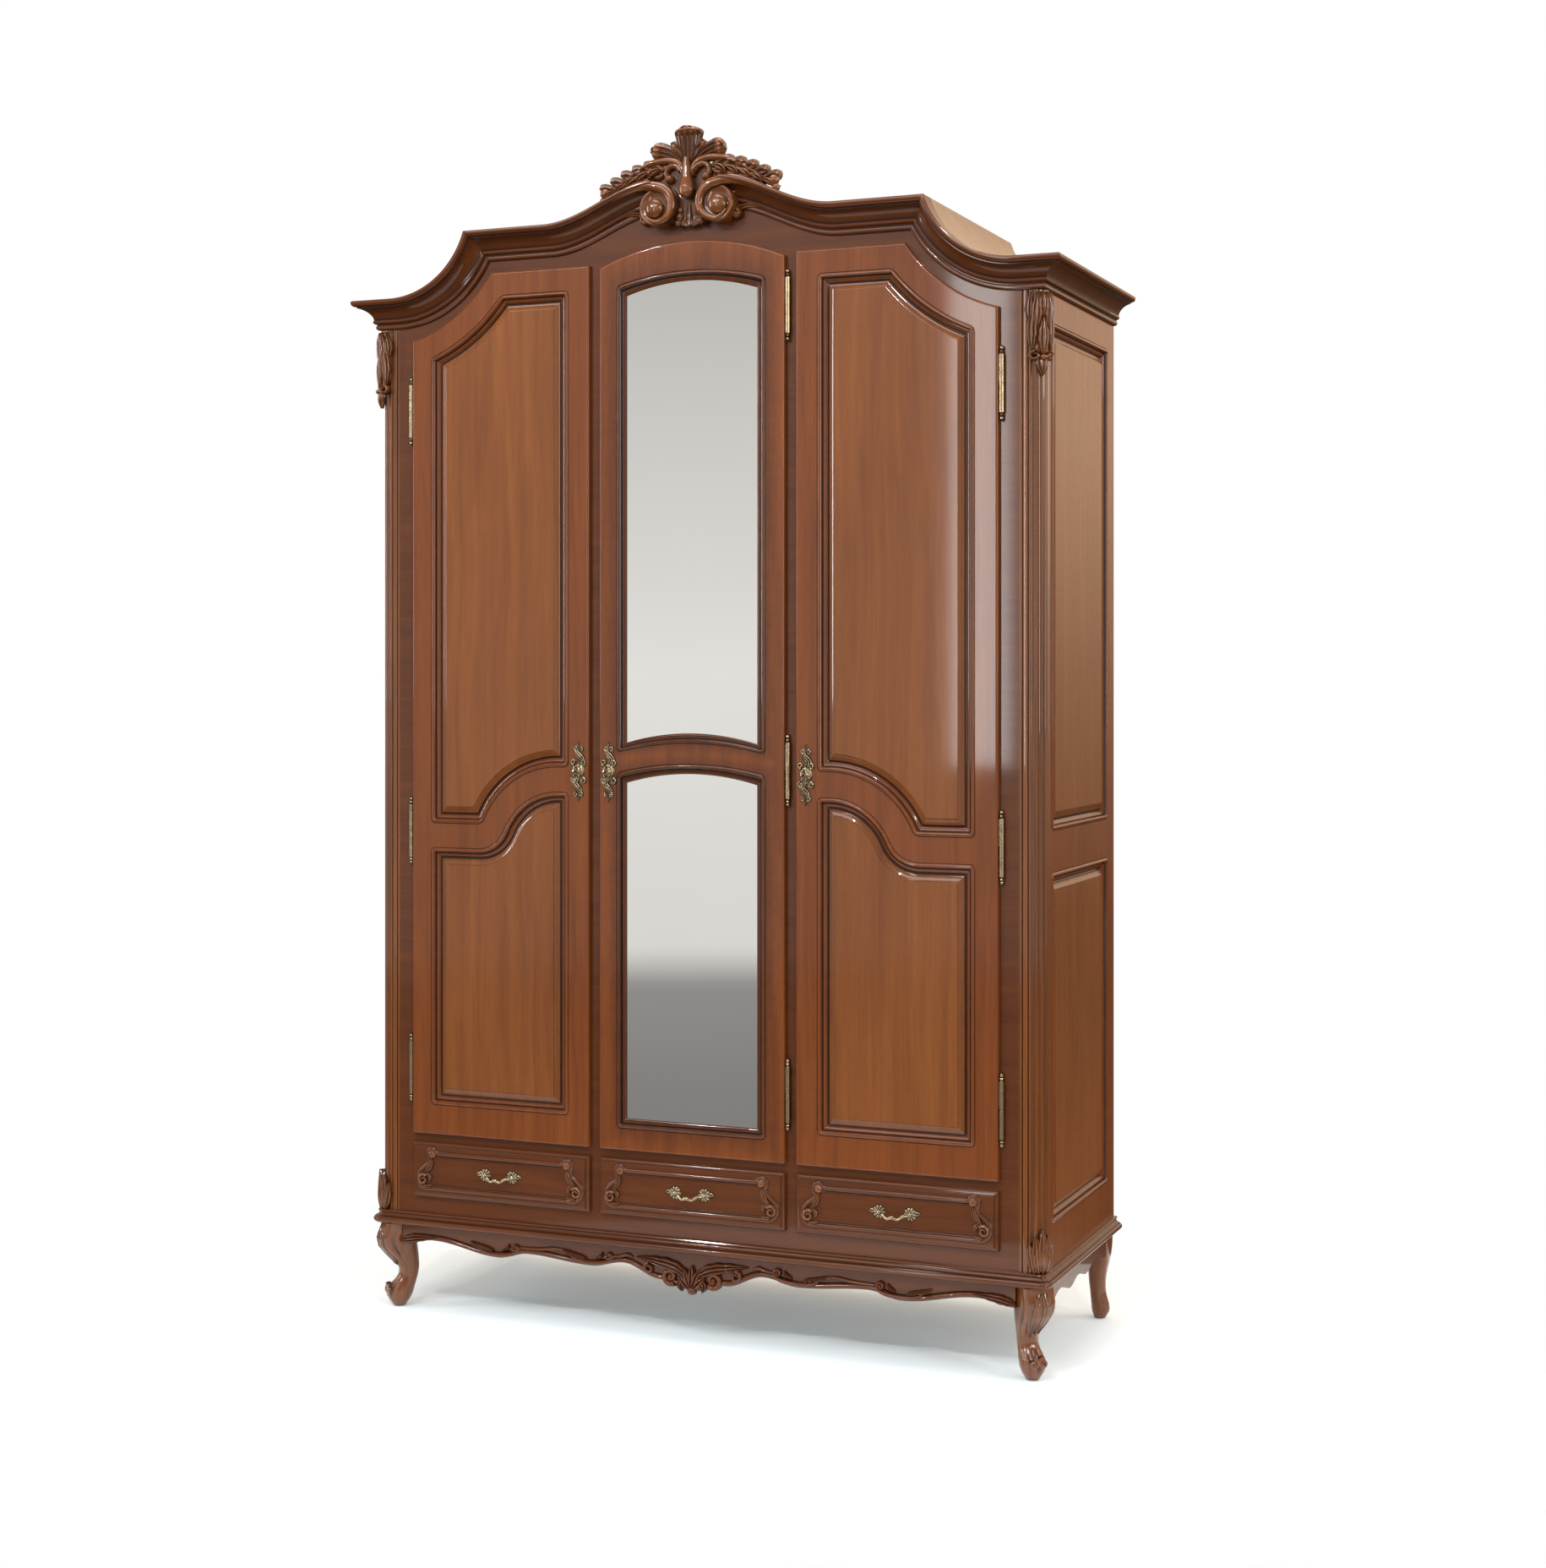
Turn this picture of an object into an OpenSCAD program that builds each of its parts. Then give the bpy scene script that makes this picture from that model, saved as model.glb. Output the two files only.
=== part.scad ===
// Three-door armoire with a crowned cornice, a mirrored centre door and three drawers.
// Frame: X to the right, -Y towards the front, +Z up. The origin is on the floor, at the centre of
// the width and of the depth. Millimetres.

/* [Overall] */
// Width over the cornice
overall_w = 1554; // [1290:1:1900]
// Depth over the cornice
overall_d = 580; // [480:1:720]
// Height of the cornice's underside at the sides
eaves_z = 2081; // [1740:1:2500]
// Height of the crest's tip above the cornice's underside
crest_rise = 369; // [350:1:400]

/* [Cornice] */
// Reach of the cornice beyond the body
cornice_reach = 47; // [30:1:60]
// Height of the cornice moulding
cornice_h = 60; // [40:1:70]
// Rise of the crown line from the side to the shoulder
shoulder_rise = 130; // [100:1:150]
// Radius of the hollow sweep between side and shoulder
sweep_r = 248; // [220:1:300]
// Distance from the body's side to the centre of the sweep
sweep_in = 46; // [30:1:70]
// Half width of the centre arch
arch_half = 320; // [260:1:330]
// Rise of the centre arch
arch_rise = 73; // [40:1:100]
// Half width of the gap in the moulding that the crest fills
crest_gap = 75; // [60:1:90]
// Thickness of the roof boards
roof_t = 12; // [9:1:18]

/* [Base] */
// Height of the legs up to the waist moulding
leg_h = 182; // [150:1:220]
// Height of the waist moulding
waist_h = 28; // [20:1:36]
// Reach of the waist moulding beyond the body
waist_reach = 18; // [10:1:24]
// Thickness of the aprons
apron_t = 22; // [18:1:28]
// Side of a leg's square top block
leg_block = 54; // [44:1:62]

/* [Body] */
// Thickness of the face frame and the frieze
frame_t = 24; // [20:1:30]
// Width of a corner post
post_w = 46; // [40:1:56]
// Thickness of the side frames
side_t = 24; // [18:1:30]
// Thickness of partitions, shelves and boards
board_t = 18; // [15:1:24]
// Thickness of the back panel
back_t = 8; // [5:1:12]
// Thickness of the panels' edges
panel_t = 7; // [5:1:9]

/* [Doors] */
// Width of the centre door
centre_door_w = 408; // [360:1:440]
// Strip of face frame that shows between two doors
door_gap = 25; // [22:1:34]
// Width from the body's side to the outer door
side_show = 85; // [78:1:100]
// Height of the doors' lower edge
door_z = 380; // [370:1:420]
// Thickness of a door
door_t = 24; // [22:1:30]
// How far doors and drawer fronts stand proud of the face frame
proud = 13; // [11:1:15]
// Overlap of doors and drawer fronts on the face frame
lip = 9; // [6:1:12]
// Gap between a door's rebate and its opening
door_fit = 2; // [1.5:0.1:3]
// Flat margin of a door frame up to its moulding
margin = 45; // [38:1:52]
// Width of the moulding around a panel
moulding_w = 22; // [16:1:24]
// Height of the flat part of the mid rail
mid_z = 1010; // [900:1:1100]
// Radius of the mid rail's bow
mid_r = 163; // [150:1:170]
// Width of the mid rail
mid_w = 50; // [40:1:60]
// Thickness of the mirrors
mirror_t = 4; // [3:0.5:6]

/* [Hinges] */
// Radius of a hinge barrel
barrel_r = 5; // [4:0.1:6]
// Radius of a hinge pin
pin_r = 2.5; // [2:0.1:3]
// Running clearance of the hinge pins and keys
run_fit = 0.05; // [0.02:0.01:0.09]
// Length of one half of a hinge barrel
barrel_h = 55; // [40:1:70]
// Gap between a barrel and the door's edge
barrel_gap = 0.8; // [0.5:0.1:1.5]

/* [Locks] */
// Distance from the door's edge to the key
key_in = 22; // [18:1:26]
// Height of the keys
key_z = 1150; // [1100:1:1200]
// Radius of a key's shank
key_r = 2.5; // [2:0.1:3]
// Travel of a lock's bolt
bolt_throw = 12; // [8:1:14]

/* [Drawers] */
// Height of the drawer fronts' lower edge
drawer_z = 246; // [240:1:260]
// Height of a drawer front
drawer_h = 116; // [100:1:118]
// Gap between a drawer's box and what it runs on
drawer_fit = 1; // [0.5:0.1:2]
// Thickness of the drawer sides
drawer_t = 12; // [9:1:15]
// Distance between a pull's two rosettes
pull_pitch = 64; // [50:1:96]

/* [Hidden] */

$fn = 48;
eps = 0.01;
// Main planes of the body
body_x = overall_w / 2 - cornice_reach;
front_y = -overall_d / 2 + cornice_reach;
back_y = overall_d / 2;
waist_top = leg_h + waist_h;
face_y = front_y - proud;
post_x = body_x - post_w;
inner_x = body_x - side_t;
post_back_y = front_y + post_w;
frame_back_y = front_y + frame_t;
back_inset = 4;
back_face_y = back_y - back_inset - back_t;
// Doors and openings, on the right half: inner and outer edges
door_x0 = centre_door_w / 2 + door_gap;
door_x1 = body_x - side_show;
open_x0 = door_x0 + lip;
open_x1 = door_x1 - lip;
centre_x = centre_door_w / 2;
centre_open_x = centre_x - lip;
mull_x = (centre_open_x + open_x0) / 2;
// Tops of the outer doors: side corner, shoulder and the sweep between them
door_drop = 29;
door_rise = 105;
door_side_z = eaves_z - door_drop;
door_top_z = eaves_z + door_rise;
door_sweep_r = 320;
door_sweep_out = 80;
door_sweep_c = [door_x1 + door_sweep_out,
    door_side_z + sqrt(pow(door_sweep_r, 2) - pow(door_sweep_out, 2))];
// Top of the centre door
centre_rise = 141;
centre_top_z = eaves_z + centre_rise;
centre_arc_r = 507;
centre_arc_z = centre_top_z - centre_arc_r;
glass_bow = 20;
glass_margin = 15;
glass_x = centre_x - margin - glass_margin;
// Face frame, and the height where the frieze stands on it
split_drop = 12;
split_z = door_side_z - lip - split_drop;
drawer_top = drawer_z + drawer_h;
deck_z = door_z + lip - board_t;
// Mid rail: its bow turns about mid_c and runs into the flat through a hollow of radius mid_r2
mid_r2 = 40;
mid_bow_in = 71;
mid_bow_x = door_x0 + mid_bow_in;
mid_drop = 41;
mid_c = [mid_bow_x, mid_z - mid_drop];
// Hinges
hinge_off = barrel_r + barrel_gap;
hinge_set = 6;
hinge_y = face_y + hinge_set;
hinge_foot = 137;
hinge_head = 147;
hinge_mid = 638;
hinge_zs = [door_z + hinge_foot, door_z + hinge_mid, door_side_z - hinge_head];
centre_hinge_mid = 778;
centre_hinge_head = 142;
centre_hinge_zs = [door_z + hinge_foot, door_z + centre_hinge_mid, centre_top_z - centre_hinge_head];
leaf_t = 2;
leaf_in = 3;
leaf_h = barrel_h - 2 * leaf_in;
door_leaf = 24;
frame_leaf = 20;
joint_gap = 0.3;
finial_h = 18;
// Locks, let into the doors' backs
door_back_y = face_y + door_t;
lock_t = 9;
lock_h = 60;
lock_len = 38;
bolt_h = 18;
bolt_t = 5;
bolt_len = 30;
bolt_fit = 0.3;
bolt_y = door_back_y - lock_t / 2;
strike_t = 1.5;
plate_t = 2.5;
key_reach = 28;
outer_key_x = door_x0 + key_in;
centre_key_x = -centre_x + key_in;
lock_edge = key_in - lip - door_fit;
// Drawers
drawer_open_z0 = drawer_z + lip;
drawer_open_z1 = drawer_top - lip;
drawer_behind = 28;
drawer_back_y = back_face_y - drawer_behind;
// Crown line
sweep_c = [body_x - sweep_in, eaves_z + sweep_r];
arch_flat = 60;
wood = "#7a3f1f";
wood_dark = "#5e2c15";
wood_light = "#a9774b";
brass = "#b08d57";
steel = "#8d8f92";

// ---- outlines ----

// Points of an arc about c with radius r from angle a0 to a1 in n steps
function arc(c, r, a0, a1, n = 14) =
    [for (i = [0:n]) c + r * [cos(a0 + (a1 - a0) * i / n), sin(a0 + (a1 - a0) * i / n)]];
function mirrored(pts) = [for (i = [len(pts) - 1:-1:0]) [-pts[i][0], pts[i][1]]];

// Rise of the centre arch over the crown's flat at a distance ax from the centre line
function arch_z(ax) = ax >= arch_half ? 0
    : ax <= arch_flat ? arch_rise
    : arch_rise * (0.5 + 0.5 * cos(180 * (ax - arch_flat) / (arch_half - arch_flat)));
// Crown line of the cornice on the right half, h above the moulding's lower edge, out to x = xe
function crown_z(ax, h) = eaves_z + shoulder_rise + h + arch_z(ax);
function shoulder_x(h) =
    sweep_c[0] - sqrt(pow(sweep_r - h, 2) - pow(sweep_r - shoulder_rise - h, 2));
function crown_half(h, x0, xe) = concat(
    [for (i = [0:26]) let (x = x0 + (shoulder_x(h) - x0) * i / 26) [x, crown_z(x, h)]],
    [for (p = arc(sweep_c, sweep_r - h, 180 + asin((sweep_r - shoulder_rise - h) / (sweep_r - h)), 270))
        if (p[0] > shoulder_x(h) + 1) p],
    [[xe, eaves_z + h]]);
function crown_line(h, xe) = concat(mirrored(crown_half(h, 0, xe)), crown_half(h, eps, xe));

// Outline of the right outer door, g inside its edges
function outer_door_outline(g) =
    let (r = door_sweep_r + g, c = door_sweep_c, x1 = door_x1 - g, zt = door_top_z - g)
    concat(
        [[door_x0 + g, door_z + g], [x1, door_z + g]],
        [for (p = arc(c, r, 270 - asin((c[0] - x1) / r), 180 + asin((c[1] - zt) / r))) p],
        [[door_x0 + g, zt]]);
// Outline of the centre door, g inside its edges
function centre_door_outline(g) =
    let (x = centre_x - g, r = centre_arc_r - g, a = asin(x / r))
    concat([[-x, door_z + g], [x, door_z + g]], arc([0, centre_arc_z], r, 90 - a, 90 + a));
// Line along the mid rail of the right door, e above its centre line, from x0 to x1
function mid_line(e, x0, x1) =
    let (r1 = mid_r + e, r2 = mid_r2 - e, zf = mid_z + e,
        c2 = [mid_c[0] + sqrt(pow(mid_r + mid_r2, 2) - pow(mid_drop + mid_r2, 2)), mid_z + mid_r2],
        a = atan2(c2[1] - mid_c[1], c2[0] - mid_c[0]),
        a0 = x0 > mid_c[0] ? acos((x0 - mid_c[0]) / r1) : 90)
    concat(x0 < mid_c[0] ? [[x0, mid_c[1] + r1]] : [],
        r2 > 1 ? concat(arc(mid_c, r1, a0, a), [for (i = [1:8]) arc(c2, r2, 180 + a, 270, 8)[i]])
            : arc(mid_c, r1, a0, asin((zf - mid_c[1]) / r1), 18),
        [[x1, zf]]);
function reversed(pts) = [for (i = [len(pts) - 1:-1:0]) pts[i]];
// Upper and lower panel openings of the right door, g inside the moulding's outer line
head_show = 3;
foot_show = 17;
function upper_opening(g) =
    let (m = margin + g, r = door_sweep_r + head_show + m, c = door_sweep_c, x0 = door_x0 + m,
        x1 = door_x1 - m, zt = door_top_z - m - head_show)
    concat(mid_line(mid_w / 2 + g, x0, x1),
        arc(c, r, 270 - asin((c[0] - x1) / r), 180 + asin((c[1] - zt) / r)), [[x0, zt]]);
function lower_opening(g) =
    let (m = margin + g, x0 = door_x0 + m, x1 = door_x1 - m)
    concat([[x0, door_z + foot_show + m], [x1, door_z + foot_show + m]],
        reversed(mid_line(-mid_w / 2 - g, x0, x1)));
// Mirror openings of the centre door, g inside the glass edge
function bowed(x, z0, z1, bow0, bow1) = concat(
    bow0 > 0 ? bow_arc(x, z0, bow0) : [[-x, z0], [x, z0]], reversed(bow_arc(x, z1, bow1)));
function bow_arc(x, z, bow) =
    let (r = (x * x + bow * bow) / (2 * bow), a = asin(x / r))
    arc([0, z + bow - r], r, 90 + a, 90 - a, 16);
centre_mid_rise = 149;
centre_mid_z = mid_z + centre_mid_rise;
mirror_head = 80;
mirror_foot = 65;
mirror_over_mid = 51;
mirror_under_mid = 31;
glass_head_bow = 23;
upper_mirror_z1 = centre_top_z - mirror_head;
function upper_mirror_outline(g) =
    bowed(glass_x - g, centre_mid_z + mirror_over_mid + g, upper_mirror_z1 - g, glass_bow, glass_head_bow);
function lower_mirror_outline(g) =
    bowed(glass_x - g, door_z + mirror_foot + g, centre_mid_z - mirror_under_mid - g, 0, glass_bow);

// Lower edge of an apron: depths below the waist moulding, joined by half waves between a list's points
function wave(pts, x, i = 0) =
    x >= pts[len(pts) - 1][0] ? pts[len(pts) - 1][1]
    : x > pts[i + 1][0] ? wave(pts, x, i + 1)
    : pts[i][1] + (pts[i + 1][1] - pts[i][1])
        * (0.5 - 0.5 * cos(180 * (x - pts[i][0]) / (pts[i + 1][0] - pts[i][0])));
apron_x = body_x - leg_block;
apron_waves = [[0, 77], [72, 60], [155, 34], [229, 47], [0.557 * apron_x, 37], [0.66 * apron_x, 51],
    [0.89 * apron_x, 30], [apron_x, 42]];
side_apron_y0 = front_y + leg_block;
side_apron_y1 = back_y - leg_block;
side_apron_l = side_apron_y1 - side_apron_y0;
side_apron_waves = [for (w = [[0, 46], [0.2, 30], [0.36, 46], [0.5, 34], [0.64, 46], [0.8, 30], [1, 46]])
    [w[0] * side_apron_l, w[1]]];

// ---- building helpers ----

// A plate drawn in X and Z, from depth y0 to y1
module plate(y0, y1) translate([0, y1, 0]) rotate([90, 0, 0]) linear_extrude(y1 - y0) children();
// A profile drawn in Y and Z, run from x0 to x1
module run_x(x0, x1) translate([x0, 0, 0]) rotate([90, 0, 90]) linear_extrude(x1 - x0) children();
// A box between two corners
module block(a, b) translate(a) cube(b - a);
// The same solid on both sides
module both() {
    children();
    mirror([1, 0, 0]) children();
}
// A cylinder along Y from y0 to y1 at (x, z)
module pin_y(x, z, r, y0, y1) translate([x, y1, z]) rotate([90, 0, 0]) cylinder(r = r, h = y1 - y0);

// ---- base ----

module front_apron() color(wood) plate(front_y, front_y + apron_t)
    polygon(concat([[apron_x, leg_h], [-apron_x, leg_h]],
        [for (i = [-48:48]) [apron_x * i / 48, leg_h - wave(apron_waves, abs(apron_x * i / 48))]]));

side_rail_in = 3;
rear_rail_in = 6;
rear_rail_h = 60;
module base_rails() color(wood) {
    both() run_x(body_x - apron_t - side_rail_in, body_x - side_rail_in)
        polygon(concat([[side_apron_y1, leg_h], [side_apron_y0, leg_h]],
            [for (i = [0:36]) [side_apron_y0 + side_apron_l * i / 36,
                leg_h - wave(side_apron_waves, side_apron_l * i / 36)]]));
    block([-apron_x, back_y - apron_t - rear_rail_in, leg_h - rear_rail_h],
        [apron_x, back_y - rear_rail_in, leg_h]);
}

// A bent leg: rings [reach, height, radius] joined one to the next, leaning along a heading
module bent_leg(rings, heading) {
    for (i = [0:len(rings) - 2]) hull() for (k = [i, i + 1])
        translate(rings[k][0] * heading) translate([0, 0, rings[k][1]]) sphere(r = rings[k][2], $fn = 20);
}
leg_rings = [[8, leg_h - 34, 32], [20, leg_h - 44, 33], [12, leg_h - 78, 24], [2, leg_h - 104, 17],
    [6, 50, 16], [16, 32, 19], [17, 21, 20]];
rear_rings = [[0, leg_h - 34, 24], [4, leg_h - 60, 22], [0, leg_h - 100, 16], [8, 45, 15], [20, 18, 16]];
toe_reach = 17;
leg_in = leg_block / 2 + 8;
block_h = 62;
pad_r = 12;
pad_h = 12;
sole_z = 2;
// A leg under the corner block from y0 to y1, its rings about (x, y) and leaning along a heading
module leg(rings, x, y, heading, y0, y1, room0, room1) {
    block([apron_x, y0, leg_h - block_h], [body_x, y1, leg_h]);
    intersection() {
        translate([x, y, 0]) bent_leg(rings, heading);
        block([apron_x, room0, sole_z], [overall_w, room1, leg_h]);
    }
    translate([x, y, 0] + toe_reach * heading) cylinder(r = pad_r, h = pad_h);
}
module front_legs() color(wood_dark) both()
    leg(leg_rings, body_x - leg_in, front_y + leg_in, [sqrt(0.5), -sqrt(0.5), 0],
        front_y, side_apron_y0, -overall_d, side_apron_y0);
module rear_legs() color(wood_dark) both()
    leg(rear_rings, body_x - leg_in, back_y - leg_block / 2, [1, 0, 0],
        side_apron_y1, back_y, side_apron_y1, overall_d);

// Waist moulding: a rounded band mitred around the front and the two sides
waist_inner = 60;
waist_corner = 24;
// Its steps: [set back, height from, height to]
waist_steps = [[0, 0, 12], [5, 12, 20], [12, 20, waist_h]];
module waist_moulding() color(wood) {
    w = body_x + waist_reach;
    f = front_y - waist_reach;
    c = waist_corner;
    difference() {
        for (s = waist_steps)
            translate([0, 0, leg_h + s[1]]) linear_extrude(s[2] - s[1]) polygon([
                [-w + s[0], back_y], [-w + s[0], f + c], [-w + c, f + s[0]],
                [w - c, f + s[0]], [w - s[0], f + c], [w - s[0], back_y]]);
        block([-body_x + waist_inner, front_y + waist_inner, 0],
            [body_x - waist_inner, back_y + 1, overall_w]);
    }
}
module bottom_board() color(wood_light)
    block([-body_x + waist_inner, front_y + waist_inner, waist_top - board_t],
        [body_x - waist_inner, back_face_y, waist_top]);

// ---- body ----

post_top = eaves_z + cornice_h - roof_t;
flute_r = 3;
post_round = 30;
post_round_in = 26;
front_flutes = [10, 22];
side_flutes = [24, 36];
module corner_posts() color(wood) both()
    translate([0, 0, waist_top]) linear_extrude(post_top - waist_top) difference() {
        intersection() {
            translate([post_x, front_y]) square(post_w);
            translate([body_x - post_round_in, front_y + post_round_in]) union() {
                circle(r = post_round);
                translate([-post_w, -post_round]) square([post_w, 2 * post_w]);
                translate([-post_w, 0]) square([2 * post_w, 2 * post_w]);
            }
        }
        for (d = front_flutes) translate([post_x + d, front_y]) circle(r = flute_r, $fn = 24);
        for (d = side_flutes) translate([body_x, front_y + d]) circle(r = flute_r, $fn = 24);
    }

side_stile = 52;
side_foot_h = 80;
side_head_h = 55;
side_rails = [[waist_top, waist_top + side_foot_h], [mid_z - 42, mid_z + 37],
    [eaves_z - side_head_h, eaves_z]];
side_front = 14;
side_open_y0 = post_back_y + side_front;
side_open_y1 = back_y - side_stile;
side_opens = [[side_rails[0][1], side_rails[1][0]], [side_rails[1][1], side_rails[2][0]]];
panel_bite = 10;
module side_frames() color(wood) both() difference() {
    block([inner_x, post_back_y, waist_top], [body_x, back_y, post_top]);
    for (o = side_opens) {
        block([inner_x - 1, side_open_y0, o[0]], [body_x + 1, side_open_y1, o[1]]);
        side_panel_edge(o);
    }
}
panel_raise = 16;
side_field_in = 5;
module side_panel_edge(o)
    block([inner_x + side_t / 2 - panel_t / 2, side_open_y0 - panel_bite, o[0] - panel_bite],
        [inner_x + side_t / 2 + panel_t / 2, side_open_y1 + panel_bite, o[1] + panel_bite]);
module side_panels() color(wood_light) both() for (o = side_opens) {
    side_panel_edge(o);
    block([inner_x + side_t / 2, side_open_y0 + panel_raise, o[0] + panel_raise],
        [body_x - side_field_in, side_open_y1 - panel_raise, o[1] - panel_raise]);
}

// Bolt mortise in a face frame's stile, with its edge at x and the bolt coming from the side s
bolt_room = 1;
mortise_d = bolt_throw + 4;
strike_lap = 2;
strike_ear = 8;
module strike_plate(x, s)
    translate([s > 0 ? x - strike_t : x, bolt_y - bolt_t / 2 - strike_lap, key_z - bolt_h / 2 - strike_ear])
        cube([strike_t, bolt_t + 2 * strike_lap, bolt_h + 2 * strike_ear]);
module mortise(x, s) {
    translate([s > 0 ? x - mortise_d : x - 1, bolt_y - bolt_t / 2 - bolt_room,
        key_z - bolt_h / 2 - bolt_room])
        cube([mortise_d + 1, bolt_t + 2 * bolt_room, bolt_h + 2 * bolt_room]);
    strike_plate(x, s);
}
module all_mortises() {
    mortise(open_x0, 1);
    mortise(-open_x0, -1);
    mortise(-centre_open_x, 1);
}
module face_outline(z0, z1) translate([-post_x, z0]) square([2 * post_x, z1 - z0]);
module face_openings() {
    both() {
        polygon(outer_door_outline(lip));
        translate([open_x0, drawer_open_z0]) square([open_x1 - open_x0, drawer_open_z1 - drawer_open_z0]);
    }
    polygon(centre_door_outline(lip));
    translate([-centre_open_x, drawer_open_z0])
        square([2 * centre_open_x, drawer_open_z1 - drawer_open_z0]);
}
module face_frame() color(wood) difference() {
    plate(front_y, frame_back_y) difference() {
        face_outline(waist_top, split_z);
        face_openings();
    }
    all_mortises();
    all_frame_leaves();
}
module frieze() color(wood) difference() {
    plate(front_y, frame_back_y) difference() {
        polygon(concat([[post_x, split_z]], reversed(crown_line(cornice_h - roof_t, post_x)),
            [[-post_x, split_z]]));
        face_openings();
    }
    all_frame_leaves();
}
module back_panel() color(wood_light) plate(back_face_y, back_face_y + back_t)
    polygon(concat([[inner_x, waist_top]], reversed(crown_line(cornice_h - roof_t, inner_x)),
        [[-inner_x, waist_top]]));
module partitions() color(wood_light) both() plate(frame_back_y, back_face_y) intersection() {
    polygon(concat([[inner_x, deck_z]], reversed(crown_line(cornice_h - roof_t, inner_x)),
        [[-inner_x, deck_z]]));
    translate([mull_x - board_t / 2, deck_z + board_t]) square([board_t, overall_w]);
}
module drawer_deck() color(wood_light) difference() {
    block([-inner_x, frame_back_y, deck_z], [inner_x, back_face_y, deck_z + board_t]);
    both() block([post_x, frame_back_y - 1, 0], [body_x, post_back_y, overall_w]);
}
// Dividers between the drawers and the ledges and fences that the drawers run on and between
guide_top = drawer_open_z0 + 1;
fence_h = 16;
ledge_w = 14;
module guide(x0, x1, fence_x0, fence_x1) {
    block([x0, frame_back_y, waist_top], [x1, drawer_back_y, guide_top]);
    block([fence_x0, frame_back_y, waist_top], [fence_x1, drawer_back_y, guide_top + fence_h]);
}
module drawer_guides() color(wood_light) both() {
    l = mull_x - board_t / 2;
    r = mull_x + board_t / 2;
    block([l, frame_back_y, waist_top], [r, back_face_y, deck_z]);
    guide(r, open_x0 + ledge_w, r, open_x0 + door_fit - drawer_fit);
    guide(centre_open_x - ledge_w, l, centre_open_x - door_fit + drawer_fit, l);
    guide(open_x1 - ledge_w, post_x, open_x1 - door_fit + drawer_fit, post_x);
}

shelf_in = 2;
shelf_y0 = post_back_y + shelf_in;
shelf_n = 4;
bay_h = door_side_z - deck_z;
module left_shelves() color(wood_light) for (i = [1:shelf_n])
    block([-inner_x, shelf_y0, deck_z + bay_h * i / (shelf_n + 1)],
        [-mull_x - board_t / 2, back_face_y, deck_z + bay_h * i / (shelf_n + 1) + board_t]);
hat_share = 0.84;
hat_z = deck_z + bay_h * hat_share;
module hat_shelves() color(wood_light) {
    block([-mull_x + board_t / 2, shelf_y0, hat_z], [mull_x - board_t / 2, back_face_y, hat_z + board_t]);
    block([mull_x + board_t / 2, shelf_y0, hat_z], [inner_x, back_face_y, hat_z + board_t]);
}
rail_r = 12.5;
rail_wall = 1.5;
rail_gap = 2;
rail_drop = 60;
rail_z = hat_z - rail_drop;
socket_t = 10;
socket_r = 22;
rail_spans = [[-mull_x + board_t / 2, mull_x - board_t / 2], [mull_x + board_t / 2, inner_x]];
module hanging_rails() color(steel) for (s = rail_spans) difference() {
    rail_rod(s, rail_r, rail_gap);
    rail_rod(s, rail_r - rail_wall, rail_gap - 1);
}
module rail_rod(s, r, gap) translate([s[0] + gap, 0, rail_z]) rotate([0, 90, 0])
    cylinder(r = r, h = s[1] - s[0] - 2 * gap);
module rail_sockets() color(brass) difference() {
    for (s = rail_spans, e = [s[0], s[1] - socket_t])
        translate([e, 0, rail_z]) rotate([0, 90, 0]) cylinder(r = socket_r, h = socket_t);
    for (s = rail_spans) rail_rod(s, rail_r, rail_gap);
}

// ---- cornice, roof and carvings ----

module roof_boards() color(wood_light) plate(front_y, back_y) polygon(concat(
    crown_line(cornice_h - roof_t, body_x), reversed(crown_line(cornice_h, body_x))));
// Cornice: three stepped bands, [reach, height from, height to]
bands = [[0.3, 0, 0.36], [0.66, 0.36, 0.7], [1, 0.7, 1]];
module cornice() color(wood) {
    both() for (b = bands) plate(front_y - b[0] * cornice_reach, front_y) polygon(concat(
        crown_half(b[1] * cornice_h, crest_gap, body_x + b[0] * cornice_reach),
        reversed(crown_half(b[2] * cornice_h, crest_gap, body_x + b[0] * cornice_reach))));
    both() for (b = bands) block([body_x, front_y - eps, eaves_z + b[1] * cornice_h],
        [body_x + b[0] * cornice_reach, back_y, eaves_z + b[2] * cornice_h]);
}
crest_in = 1;
spray_in = 8;
crest_y0 = front_y - cornice_reach + crest_in;
plume_r = 62;
plume_z = eaves_z + crest_rise - plume_r;
side_leaf_x = 52;
side_leaf_r = 40;
side_leaf_drop = 6;
stem_x = 30;
pendant_rise = 164;
crest_fit = 0.5;
spray_fit = 0.3;
spray_step = 12;
spray_n = 10;
function spray_z(i) = crown_z(crest_gap + spray_step * i, cornice_h) + spray_fit;
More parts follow.
